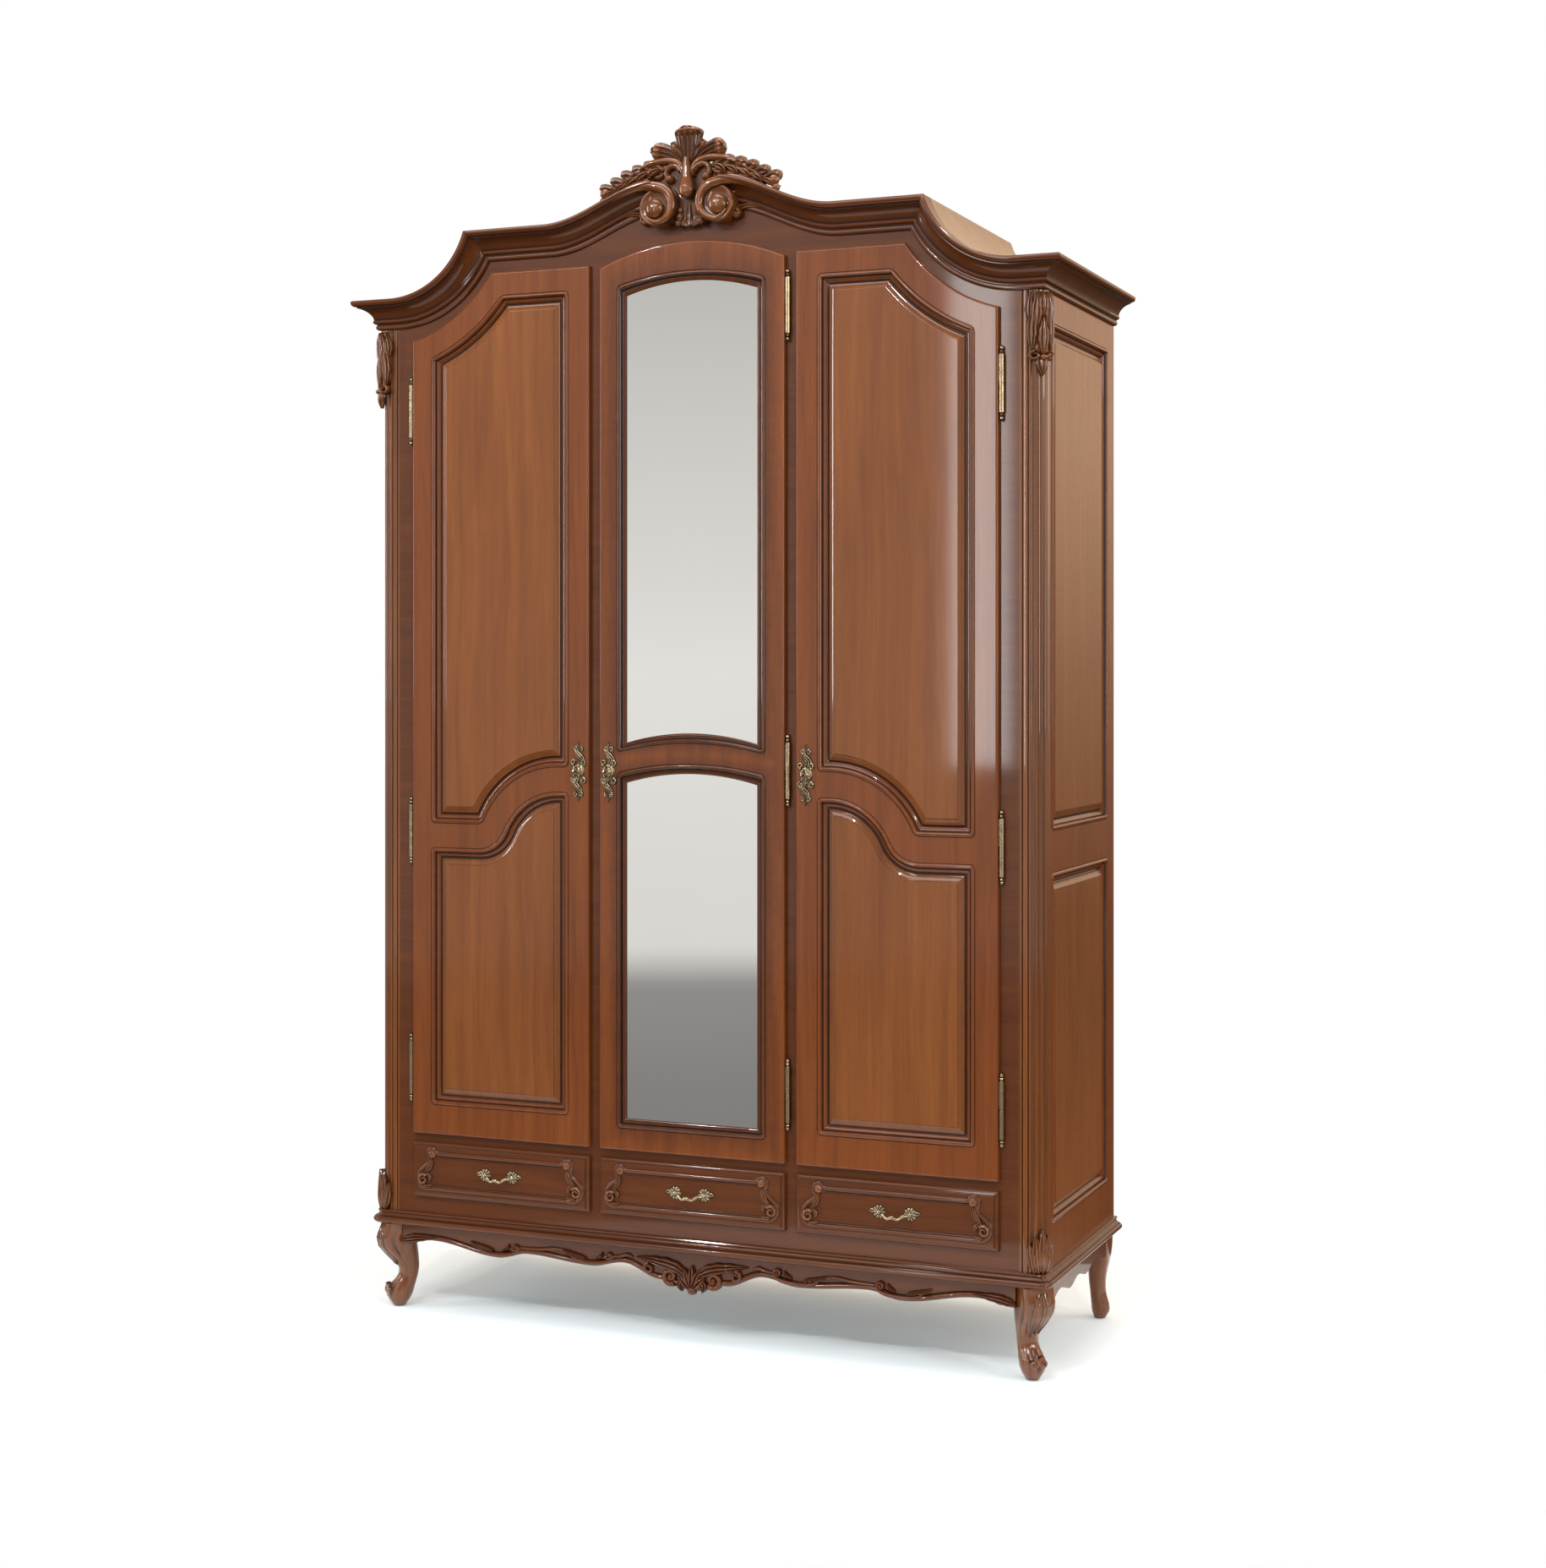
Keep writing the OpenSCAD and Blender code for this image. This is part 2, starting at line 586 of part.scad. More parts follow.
// Crest: a fanned plume on a stem, two volutes and leaf sprays on the arch
module crest() color(wood_dark) {
    x = crest_gap - crest_fit;
    plate(crest_y0, front_y) {
        translate([0, plume_z]) circle(r = plume_r);
        for (s = [-1, 1]) translate([s * side_leaf_x, plume_z - side_leaf_drop]) circle(r = side_leaf_r);
        polygon([[-x, crown_z(x, 6)], [0, eaves_z + pendant_rise], [x, crown_z(x, 6)], [x, spray_z(0) + 8],
            [stem_x, plume_z], [-stem_x, plume_z], [-x, spray_z(0) + 8]]);
    }
    both() plate(crest_y0 + spray_in, front_y) polygon(concat([[x - 1, spray_z(0)]],
        [for (i = [0:spray_n]) [crest_gap + spray_step * i, spray_z(i)]],
        [for (i = [spray_n:-1:0]) [crest_gap + spray_step * i, spray_z(i) + 14 + 24 * sin(162 - 14 * i)]],
        [[x - 1, spray_z(0) + 14]]));
}
// Carved drops on the corner posts: a capital under the cornice and a leaf on the foot
capital_h = 165;
foot_leaf_h = 84;
drop_in = 16;
module corner_drop(z, h, profile) translate([body_x - drop_in, front_y + drop_in, z]) intersection() {
    rotate_extrude() polygon(profile);
    difference() {
        translate([-drop_in - 8, -2 * drop_in - 2, 0]) cube([58, 58, h]);
        translate([-4 * drop_in, -drop_in, -1]) cube([5 * drop_in, 6 * drop_in, h + 2]);
    }
}
module post_carvings() color(wood_dark) both() {
    corner_drop(eaves_z - capital_h, capital_h, [[0, 0], [20, 0], [24, 40], [29, 90], [32, capital_h],
        [0, capital_h]]);
    corner_drop(waist_top, foot_leaf_h, [[0, 0], [29, 0], [26, 40], [20, foot_leaf_h], [0, foot_leaf_h]]);
}

// ---- hinges ----

// Lower half of a hinge: finial, barrel, pin and the leaf let into the face frame
module pin_half() {
    rotate_extrude() polygon(concat([[0, -barrel_h - finial_h], [1.6, -barrel_h - finial_h]],
        arc([0, -barrel_h - finial_h + 5], 3.6, -60, 60, 8), [[1.8, -barrel_h - 8], [3.4, -barrel_h - 6],
        [2.4, -barrel_h - 3], [barrel_r, -barrel_h], [barrel_r, -joint_gap / 2], [pin_r, -joint_gap / 2],
        [pin_r, barrel_h - 16], [0, barrel_h - 16]]));
    translate([-leaf_t / 2, 0, -leaf_in - leaf_h]) cube([leaf_t, frame_leaf, leaf_h]);
}
module frame_leaf_slot() translate([-leaf_t / 2, 0, -leaf_in - leaf_h]) cube([leaf_t, frame_leaf, leaf_h]);
// Upper half of a hinge, its leaf towards the door on the side s
module barrel_half(s) {
    difference() {
        union() {
            rotate_extrude() polygon(concat([[0, joint_gap / 2], [barrel_r, joint_gap / 2],
                [barrel_r, barrel_h], [2.4, barrel_h + 3], [3.4, barrel_h + 6], [1.8, barrel_h + 8]],
                arc([0, barrel_h + finial_h - 5], 3.6, -60, 60, 8),
                [[1.6, barrel_h + finial_h], [0, barrel_h + finial_h]]));
            door_leaf_slot(s);
        }
        translate([0, 0, -1]) cylinder(r = pin_r + run_fit, h = barrel_h - 12);
    }
}
module door_leaf_slot(s) translate([s > 0 ? 0 : -door_leaf, -leaf_t / 2, 4])
    cube([door_leaf, leaf_t, leaf_h]);
module at_outer_hinges() for (z = hinge_zs) translate([door_x1 + hinge_off, hinge_y, z]) children();
module at_centre_hinges() for (z = centre_hinge_zs) translate([centre_x + hinge_off, hinge_y, z]) children();
module all_frame_leaves() {
    both() at_outer_hinges() frame_leaf_slot();
    at_centre_hinges() frame_leaf_slot();
}
module right_hinge_pins() color(brass) at_outer_hinges() pin_half();
module left_hinge_pins() color(brass) mirror([1, 0, 0]) at_outer_hinges() pin_half();
module centre_hinge_pins() color(brass) at_centre_hinges() pin_half();
module right_door_hinges() color(brass) at_outer_hinges() barrel_half(-1);
module left_door_hinges() color(brass) mirror([1, 0, 0]) at_outer_hinges() barrel_half(-1);
module centre_door_hinges() color(brass) at_centre_hinges() barrel_half(-1);

// ---- doors ----

// An outer door's leaf: the proud part over the face frame and the rebated part in the opening
module outer_leaf() {
    plate(face_y, front_y - joint_gap) polygon(outer_door_outline(0));
    plate(front_y - joint_gap, door_back_y) polygon(outer_door_outline(lip + door_fit));
}
panel_y = (face_y + door_back_y) / 2;
groove_d = 4;
field_set = 3;
module outer_frame() difference() {
    outer_leaf();
    plate(face_y - 1, door_back_y + 1) {
        polygon(upper_opening(moulding_w));
        polygon(lower_opening(moulding_w));
    }
    plate(panel_y - panel_t / 2, panel_y + panel_t / 2) {
        polygon(upper_opening(moulding_w - panel_bite));
        polygon(lower_opening(moulding_w - panel_bite));
    }
    plate(face_y - 1, face_y + groove_d) {
        polygon(upper_opening(moulding_w / 2));
        polygon(lower_opening(moulding_w / 2));
    }
    lock_pocket(outer_key_x);
    at_outer_hinges() door_leaf_slot(-1);
}
module outer_panels() {
    plate(panel_y - panel_t / 2, panel_y + panel_t / 2) {
        polygon(upper_opening(moulding_w - panel_bite));
        polygon(lower_opening(moulding_w - panel_bite));
    }
    plate(face_y + field_set, panel_y) {
        polygon(upper_opening(moulding_w + panel_raise));
        polygon(lower_opening(moulding_w + panel_raise));
    }
}
module right_door_frame() color(wood) outer_frame();
module left_door_frame() color(wood) mirror([1, 0, 0]) outer_frame();
module right_door_panels() color(wood_light) outer_panels();
module left_door_panels() color(wood_light) mirror([1, 0, 0]) outer_panels();

mirror_bite = 8;
mirror_set = 7;
mirror_y = face_y + mirror_set;
mirror_back_t = 5;
module centre_door_frame() color(wood) difference() {
    union() {
        plate(face_y, front_y - joint_gap) polygon(centre_door_outline(0));
        plate(front_y - joint_gap, door_back_y) polygon(centre_door_outline(lip + door_fit));
    }
    plate(face_y - 1, door_back_y + 1) {
        polygon(upper_mirror_outline(0));
        polygon(lower_mirror_outline(0));
    }
    plate(mirror_y, door_back_y + 1) {
        polygon(upper_mirror_outline(-mirror_bite));
        polygon(lower_mirror_outline(-mirror_bite));
    }
    lock_pocket(centre_key_x);
    at_centre_hinges() door_leaf_slot(-1);
}
module mirrors() color("#dfe3e4") plate(mirror_y, mirror_y + mirror_t) {
    polygon(upper_mirror_outline(-mirror_bite));
    polygon(lower_mirror_outline(-mirror_bite));
}
module mirror_backs() color(wood_light)
    plate(mirror_y + mirror_t, mirror_y + mirror_t + mirror_back_t) {
        polygon(upper_mirror_outline(-mirror_bite));
        polygon(lower_mirror_outline(-mirror_bite));
    }

// ---- locks, keys and escutcheons; the key is at x, the rebated edge lies lock_edge before it ----

module lock_box(x) block([x - lock_edge, door_back_y - lock_t, key_z - lock_h / 2],
    [x - lock_edge + lock_len, door_back_y, key_z + lock_h / 2]);
module lock_pocket(x) {
    lock_box(x);
    pin_y(x, key_z, key_r + run_fit, face_y - 1, door_back_y);
}
module lock_case(x) difference() {
    lock_box(x);
    block([x - lock_edge - 1, bolt_y - bolt_t / 2 - bolt_fit, key_z - bolt_h / 2 - bolt_fit],
        [x - lock_edge + bolt_len + 2, bolt_y + bolt_t / 2 + bolt_fit, key_z + bolt_h / 2 + bolt_fit]);
    pin_y(x, key_z, key_r + run_fit, door_back_y - lock_t - 1, bolt_y);
}
module bolt(x) block([x - lock_edge + 0.5, bolt_y - bolt_t / 2, key_z - bolt_h / 2],
    [x - lock_edge + bolt_len, bolt_y + bolt_t / 2, key_z + bolt_h / 2]);
// Escutcheon: a long curled plate about the keyhole, of discs [sideways, up, radius] turned about it
curls = [[0, 0, 14], [3, 22, 11], [-2, 40, 9], [1, 54, 7]];
module escutcheon(x) difference() {
    plate(face_y - plate_t, face_y) for (s = [-1, 1], c = curls)
        translate([x + s * c[0], key_z + s * c[1]]) circle(r = c[2]);
    pin_y(x, key_z, key_r + run_fit, face_y - plate_t - 1, face_y + 1);
}
// Key: a shank through the door and a ringed bow in front of it
bow_r = 12;
bow_t = 3;
bow_w = 5;
collar_l = 7;
collar_w = 1.5;
module key(x) difference() {
    union() {
        pin_y(x, key_z, key_r, face_y - key_reach + bow_r, bolt_y - bolt_t / 2 - bolt_fit);
        pin_y(x, key_z, key_r + collar_w, face_y - plate_t - collar_l, face_y - plate_t - joint_gap);
        translate([x - bow_t / 2, face_y - key_reach + bow_r, key_z])
            rotate([0, 90, 0]) cylinder(r = bow_r, h = bow_t);
    }
    translate([x - bow_t, face_y - key_reach + bow_r - 2, key_z])
        rotate([0, 90, 0]) cylinder(r = bow_r - bow_w, h = 2 * bow_t);
}
module right_escutcheon() color(brass) escutcheon(outer_key_x);
module left_escutcheon() color(brass) mirror([1, 0, 0]) escutcheon(outer_key_x);
module centre_escutcheon() color(brass) escutcheon(centre_key_x);
module right_lock() color(steel) lock_case(outer_key_x);
module left_lock() color(steel) mirror([1, 0, 0]) lock_case(outer_key_x);
module centre_lock() color(steel) lock_case(centre_key_x);
module right_bolt() color(brass) bolt(outer_key_x);
module left_bolt() color(brass) mirror([1, 0, 0]) bolt(outer_key_x);
module centre_bolt() color(brass) bolt(centre_key_x);
module right_key() color(brass) key(outer_key_x);
module left_key() color(brass) mirror([1, 0, 0]) key(outer_key_x);
module centre_key() color(brass) key(centre_key_x);
module strike(x, s) difference() {
    strike_plate(x, s);
    translate([x - strike_t - 1, bolt_y - bolt_t / 2 - bolt_room, key_z - bolt_h / 2 - bolt_room])
        cube([2 * strike_t + 2, bolt_t + 2 * bolt_room, bolt_h + 2 * bolt_room]);
}
module lock_strikes() color(steel) {
    strike(open_x0, 1);
    strike(-open_x0, -1);
    strike(-centre_open_x, 1);
}

// ---- drawers ----

front_t = 20;
module drawer_front(x0, x1) {
    block([x0, face_y, drawer_z], [x1, front_y - joint_gap, drawer_top]);
    block([x0 + lip + door_fit, front_y - joint_gap, drawer_open_z0 + door_fit],
        [x1 - lip - door_fit, face_y + front_t, drawer_open_z1 - door_fit]);
}
box_z0 = guide_top + drawer_fit;
box_room = 6;
box_floor = 8;
box_z1 = drawer_open_z1 - box_room;
module drawer_box(x0, x1) {
    a = x0 + lip + door_fit;
    b = x1 - lip - door_fit;
    difference() {
        block([a, face_y + front_t, box_z0], [b, drawer_back_y, box_z1]);
        block([a + drawer_t, face_y + front_t + drawer_t, box_z0 + box_floor],
            [b - drawer_t, drawer_back_y - drawer_t, box_z1 + 1]);
    }
}
// Pull: two shell rosettes joined by a bowed bridge
rosette_r = 14;
rosette_t = 3;
stud_r = 5;
stud_l = 17;
bridge_y = 22;
bridge_t = 6;
bridge_h = 8;
bridge_over = 4;
module drawer_pull(x0, x1) translate([(x0 + x1) / 2, face_y, drawer_z + drawer_h / 2]) {
    for (s = [-1, 1]) translate([s * pull_pitch / 2, 0, 0]) rotate([90, 0, 0]) {
        cylinder(r = rosette_r, h = rosette_t);
        cylinder(r = stud_r, h = stud_l);
    }
    translate([-pull_pitch / 2 - bridge_over, -bridge_y, -bridge_h / 2])
        cube([pull_pitch + 2 * bridge_over, bridge_t, bridge_h]);
}
module right_drawer_front() color(wood) drawer_front(door_x0, door_x1);
module left_drawer_front() color(wood) drawer_front(-door_x1, -door_x0);
module centre_drawer_front() color(wood) drawer_front(-centre_x, centre_x);
module right_drawer_box() color(wood_light) drawer_box(door_x0, door_x1);
module left_drawer_box() color(wood_light) drawer_box(-door_x1, -door_x0);
module centre_drawer_box() color(wood_light) drawer_box(-centre_x, centre_x);
module right_drawer_pull() color(brass) drawer_pull(door_x0, door_x1);
module left_drawer_pull() color(brass) drawer_pull(-door_x1, -door_x0);
module centre_drawer_pull() color(brass) drawer_pull(-centre_x, centre_x);

front_apron();
base_rails();
front_legs();
rear_legs();
waist_moulding();
bottom_board();
corner_posts();
side_frames();
side_panels();
face_frame();
frieze();
back_panel();
partitions();
drawer_deck();
drawer_guides();
left_shelves();
hat_shelves();
hanging_rails();
rail_sockets();
roof_boards();
cornice();
crest();
post_carvings();
lock_strikes();
left_hinge_pins();
centre_hinge_pins();
right_hinge_pins();
left_door_frame();
left_door_panels();
left_door_hinges();
left_escutcheon();
left_lock();
left_bolt();
left_key();
centre_door_frame();
mirrors();
mirror_backs();
centre_door_hinges();
centre_escutcheon();
centre_lock();
centre_bolt();
centre_key();
right_door_frame();
right_door_panels();
right_door_hinges();
right_escutcheon();
right_lock();
right_bolt();
right_key();
left_drawer_front();
left_drawer_box();
left_drawer_pull();
centre_drawer_front();
centre_drawer_box();
centre_drawer_pull();
right_drawer_front();
right_drawer_box();
right_drawer_pull();
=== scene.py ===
"""Looks of a three-door armoire: moulded doors, crowned cornice, carved crest, legs and brassware."""
import math

import bpy
import numpy as np
from bpy.props import FloatProperty, FloatVectorProperty, PointerProperty
from bpy.types import Operator, Panel, PropertyGroup
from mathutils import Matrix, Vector


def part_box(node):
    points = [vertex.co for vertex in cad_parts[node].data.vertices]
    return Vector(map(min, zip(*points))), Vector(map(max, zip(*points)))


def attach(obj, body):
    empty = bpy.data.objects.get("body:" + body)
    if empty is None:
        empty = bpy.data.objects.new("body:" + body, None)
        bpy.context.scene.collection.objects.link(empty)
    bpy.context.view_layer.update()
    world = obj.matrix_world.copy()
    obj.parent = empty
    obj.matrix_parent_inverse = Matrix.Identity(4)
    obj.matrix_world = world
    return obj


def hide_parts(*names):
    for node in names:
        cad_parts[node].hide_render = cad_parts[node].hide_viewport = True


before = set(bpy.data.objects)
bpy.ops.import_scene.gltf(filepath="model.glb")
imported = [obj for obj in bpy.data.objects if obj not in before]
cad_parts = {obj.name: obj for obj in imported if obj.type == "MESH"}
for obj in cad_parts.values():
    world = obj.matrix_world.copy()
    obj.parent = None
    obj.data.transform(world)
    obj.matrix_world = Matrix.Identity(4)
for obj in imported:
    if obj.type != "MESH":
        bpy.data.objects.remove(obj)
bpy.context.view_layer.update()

bl_info = {
    "name": "Armoire",
    "version": (1, 0, 0),
    "blender": (4, 5, 0),
    "location": "3D View > Sidebar > Armoire",
    "description": "Builds the mouldings, carvings, brassware and finishes of an armoire on its frame",
    "category": "Object",
}

# ---- places, taken from the frame ----

FRAME_LO, FRAME_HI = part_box("face_frame")
SIDE_LO, SIDE_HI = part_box("side_frames")
DOOR_LO, DOOR_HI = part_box("right_door_frame")
CENTRE_LO, CENTRE_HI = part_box("centre_door_frame")
GLASS_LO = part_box("mirrors")[0]
WAIST_LO, WAIST_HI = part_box("waist_moulding")
CREST_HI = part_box("crest")[1]
POST_LO, POST_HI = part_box("corner_posts")
CARVING_LO, CARVING_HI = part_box("post_carvings")
LEG_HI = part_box("front_legs")[1]
APRON_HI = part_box("front_apron")[1]
SIDE_PANEL_LO, SIDE_PANEL_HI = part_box("side_panels")
PANEL_BACK_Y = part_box("right_door_panels")[1].y

FRONT_Y = FRAME_LO.y
FACE_Y = DOOR_LO.y
BODY_X = SIDE_HI.x
BACK_Y = SIDE_HI.y
FLOOR_GAP = 0.0006      # from the floor to the feet
LEAF_GAP = 0.0003       # from a closed door or drawer front to the face frame
LAP = FRONT_Y - LEAF_GAP - FACE_Y       # thickness of the lip that laps on the face frame
SIDE_T = 0.024          # thickness of the side frames
LEG_INSET = 0.027       # from the body's corner to a leg's axis
BAYS = ("left", "centre", "right")

# ---- sizes and colours that a user would change ----


def length(name, text, value, low=0.0, high=1.0):
    """A length in metres."""
    return FloatProperty(name=name, description=text, default=value, min=low, max=high, unit="LENGTH")


def strength(name, text, value, high):
    """A plain number from nought up."""
    return FloatProperty(name=name, description=text, default=value, min=0.0, max=high)


def power(name, text, value):
    """A light's power in watts."""
    return FloatProperty(name=name, description=text, default=value, min=0.0, max=2000.0, unit="POWER")


def paint(name, text, value):
    """A linear colour."""
    return FloatVectorProperty(name=name, description=text, default=value, size=3, min=0.0, max=1.0,
                               subtype="COLOR")


class ARMOIRE_PG_doors(PropertyGroup):
    shoulder: length("Shoulder", "Drop from the top of an outer door to its side corner", 0.134)
    sweep_r: length("Sweep radius", "Radius of the hollow sweep at the top of an outer door", 0.320)
    sweep_out: length("Sweep centre", "Distance of the sweep's centre beyond the door's edge", 0.080)
    lip: length("Lip", "Overlap of a door on its opening, with the fit", 0.011)
    margin: length("Margin", "Flat of the door frame up to its moulding", 0.045)
    head: length("Head", "Extra flat at the head of a door", 0.003)
    foot: length("Foot", "Extra flat at the foot of a door", 0.017)
    rail_z: length("Rail height", "Height of the flat part of the mid rail", 1.010, 0.5, 1.5)
    rail_w: length("Rail width", "Width of the mid rail", 0.050)
    bow_r: length("Bow radius", "Radius of the mid rail's bow", 0.163)
    bow_in: length("Bow place", "Distance of the bow's centre from the door's inner edge", 0.071)
    bow_drop: length("Bow drop", "Depth of the bow's centre below the flat", 0.041)
    hollow_r: length("Hollow radius", "Radius of the hollow between bow and flat", 0.040)
    corner_r: length("Corner radius", "Radius of a moulding's corners", 0.012)


class ARMOIRE_PG_centre(PropertyGroup):
    arc_r: length("Arch radius", "Radius of the centre door's arched head", 0.507)
    glass_x: length("Half glass", "Half width of the mirrors' sight size", 0.144)
    lower_z: length("Lower foot", "Height of the lower mirror's foot", 0.445)
    lower_top: length("Lower head", "Height of the lower mirror's head at its sides", 1.128, 0.5, 2.0)
    upper_z: length("Upper foot", "Height of the upper mirror's foot at its sides", 1.210, 0.5, 2.0)
    upper_top: length("Upper head", "Height of the upper mirror's head at its crown", 2.142, 1.0, 3.0)
    bow: length("Bow", "Rise of the mirrors' bowed edges", 0.020)
    head_bow: length("Head bow", "Rise of the upper mirror's head", 0.023)
    bead_w: length("Bead width", "Width of the moulding round a mirror", 0.021)


class ARMOIRE_PG_cornice(PropertyGroup):
    reach: length("Reach", "Reach of the cornice beyond the body", 0.047)
    height: length("Height", "Height of the cornice moulding", 0.060)
    eaves: length("Eaves", "Height of the cornice's underside at the sides", 2.081, 1.0, 3.0)
    shoulder: length("Shoulder", "Rise from the sides to the shoulder", 0.130)
    sweep_r: length("Sweep radius", "Radius of the hollow sweep", 0.248)
    sweep_in: length("Sweep place", "Distance of the sweep's centre from the body's side", 0.046)
    arch_half: length("Arch half width", "Half width of the centre arch", 0.320)
    arch_flat: length("Arch flat", "Half width of the arch's level crown", 0.060)
    arch_rise: length("Arch rise", "Rise of the centre arch", 0.073)
    gap: length("Gap", "Half width of the gap that the crest fills", 0.075)


class ARMOIRE_PG_finish(PropertyGroup):
    lacquer_light: paint("Lacquer, light", "Light grain of the lacquered frame wood", (0.208, 0.055, 0.010))
    lacquer_dark: paint("Lacquer, dark", "Dark grain of the lacquered frame wood", (0.108, 0.026, 0.005))
    panel_light: paint("Panel, light", "Light grain of the panels", (0.240, 0.076, 0.017))
    panel_dark: paint("Panel, dark", "Dark grain of the panels", (0.126, 0.035, 0.008))
    # carved_light is the light grain tone mixed in at random; the ridges look lighter only because painted
    # shade darkens the hollows
    carved_light: paint("Carving, light", "Worn tone on the carvings' ridges", (0.215, 0.064, 0.011))
    carved_dark: paint("Carving, dark", "Tone of the carvings", (0.078, 0.021, 0.004))
    # Colour of the painted shade laid into the recesses
    glaze: paint("Painted_shade", "Dark glaze left in the recesses", (0.016, 0.005, 0.003))
    inside: paint("Inside wood", "Unstained wood of the roof and the inside", (0.360, 0.240, 0.155))
    brass: paint("Brass", "Aged brass", (0.440, 0.345, 0.215))
    steel: paint("Steel", "Plated steel", (0.420, 0.410, 0.400))
    silver: paint("Silvering", "Tone of the mirrors", (0.820, 0.810, 0.790))


class ARMOIRE_PG_stage(PropertyGroup):
    lens: FloatProperty(name="Lens", description="Focal length in millimetres", default=54.925, min=10,
                        max=200)
    camera_at: FloatVectorProperty(name="Camera", description="Place of the camera", subtype="TRANSLATION",
                                   default=(2.0028, -4.6327, 1.3551))
    camera_turn: FloatProperty(name="Camera turn", description="Turn of the camera about the vertical",
                               default=math.radians(22.603), subtype="ANGLE")
    camera_shift: FloatProperty(name="Camera shift", description="Upward shift of the view",
                                default=-0.0719)
    room: strength("Room light", "Strength of the room's own light", 1.0, 5)
    key: power("Left light", "Power of the light at the left", 90)
    sheen: power("Sheen light", "Power of the light that the right door reflects", 22)
    high: power("High light", "Power of the light high in front", 38)
    lamp: power("Lamps", "Power of each small lamp", 44)
    side: power("Side light", "Power of the light at the armoire's right side", 24)
    fill: power("Right light", "Power of the light at the right", 75)
    top: power("Top light", "Power of the overhead light", 120)
    glow: strength("Floor glow", "The floor's own brightness", 0.22, 1)
    floor_x: length("Floor half width", "Half width of the floor", 1.55, 1.0, 20.0)
    floor_y: length("Floor half depth", "Half depth of the floor", 1.05, 1.0, 20.0)


# ---- lines ----


def arc(centre, radius, start, end, count=24):
    """Points at equal angles on a circle about the centre, from the start to the end angle."""
    turn = np.linspace(start, end, count)
    return np.stack([centre[0] + radius * np.cos(turn), centre[1] + radius * np.sin(turn)], -1)


def line(*points):
    """A line through a few points."""
    return np.array(points, float)


def box_lines(a, b, bottom, top):
    """Four sides of a rectangle, as open lines."""
    return [line((a, bottom), (b, bottom)), line((b, bottom), (b, top)), line((b, top), (a, top)),
            line((a, top), (a, bottom))]


def walk(path, cut, count):
    """The path shortened by the cut at both ends and stepped off at equal lengths."""
    along = np.concatenate([[0], np.cumsum(np.linalg.norm(np.diff(path, axis=0), axis=1))])
    at = np.linspace(cut, along[-1] - cut, count)
    return np.stack([np.interp(at, along, path[:, k]) for k in range(path.shape[1])], -1)


CORNER_POINTS = 5


def closed_loop(lines, counts, cut, rounded):
    """Closed line through open lines that meet at corners.

    Each line is shortened at both ends. A rounded corner is the parabola (1-t)^2 a + 2t(1-t) corner + t^2 b
    between the shortened ends, and a sharp one runs straight through the corner.
    """
    legs = [walk(part, cut, count) for part, count in zip(lines, counts)]
    t = (np.arange(CORNER_POINTS) + 1)[:, None] / (CORNER_POINTS + 1)
    points = []
    for i, leg in enumerate(legs):
        before, corner, after = leg[-1], lines[i][-1], legs[(i + 1) % len(legs)][0]
        bent = (1 - t) ** 2 * before + 2 * t * (1 - t) * corner + t ** 2 * after
        to_corner, on = before + 2 * t * (corner - before), corner + (2 * t - 1) * (after - corner)
        straight = np.where(t < 0.5, to_corner, on)
        points += [leg, bent if rounded[i] else straight]
    return np.concatenate(points)


def spline(points, count):
    """Smooth path through a few points: cubic pieces whose slope at a point is half the step across it."""
    p = np.array(points, float)
    p = np.concatenate([2 * p[:1] - p[1:2], p, 2 * p[-1:] - p[-2:-1]])
    t = np.linspace(0, len(p) - 3, count)
    i = np.minimum(t.astype(int), len(p) - 4)
    t = (t - i)[:, None]
    a, b, c, d = p[i], p[i + 1], p[i + 2], p[i + 3]
    return b + 0.5 * t * (c - a + t * (2 * a - 5 * b + 4 * c - d + t * (3 * (b - c) + d - a)))


def half_waves(x, knots):
    """Values joined by half cosine waves between the knots (place, value)."""
    places, values = np.array(knots, float).T
    i = np.clip(np.searchsorted(places, x) - 1, 0, len(places) - 2)
    t = np.clip((x - places[i]) / (places[i + 1] - places[i]), 0, 1)
    return values[i] + (values[i + 1] - values[i]) * (0.5 - 0.5 * np.cos(np.pi * t))


def curl(centre, r0, r1, start, turns, count=40):
    """Spiral about a centre, its radius going evenly from r0 to r1 over the turns."""
    angle = start + 2 * np.pi * turns * np.linspace(0, 1, count)
    radius = np.linspace(r0, r1, count)
    return np.stack([centre[0] + radius * np.cos(angle), centre[1] + radius * np.sin(angle)], -1)


# ---- surfaces: a shell is (points, quads, caps, glaze), the last being painted shade per point ----


def quads_of(rows, cols, wrap_rows=False, keep=None):
    """Quads of a grid whose columns join up, and whose rows join up too if asked; keep masks them."""
    i = np.arange(rows if wrap_rows else rows - 1)[:, None]
    j = np.arange(cols)[None, :]
    below, right = (i + 1) % rows, (j + 1) % cols
    quads = np.stack([i * cols + j, i * cols + right, below * cols + right, below * cols + j], -1)
    return quads[keep] if keep is not None else quads.reshape(-1, 4)


def outward(points, quads, caps, glaze):
    """The shell with its faces turned outwards, told by the sign of the volume under its faces."""
    fans = [np.array([[c[0], c[k], c[k + 1]] for k in range(1, len(c) - 1)]) for c in caps]
    tris = np.concatenate([quads[:, [0, 1, 2]], quads[:, [0, 2, 3]]] + fans)
    a, b, c = (points[tris[:, k]] - points.mean(0) for k in range(3))
    if np.einsum("ij,ij->", a, np.cross(b, c)) < 0:
        quads, caps = quads[:, ::-1], [c[::-1] for c in caps]
    return points, quads, caps, glaze


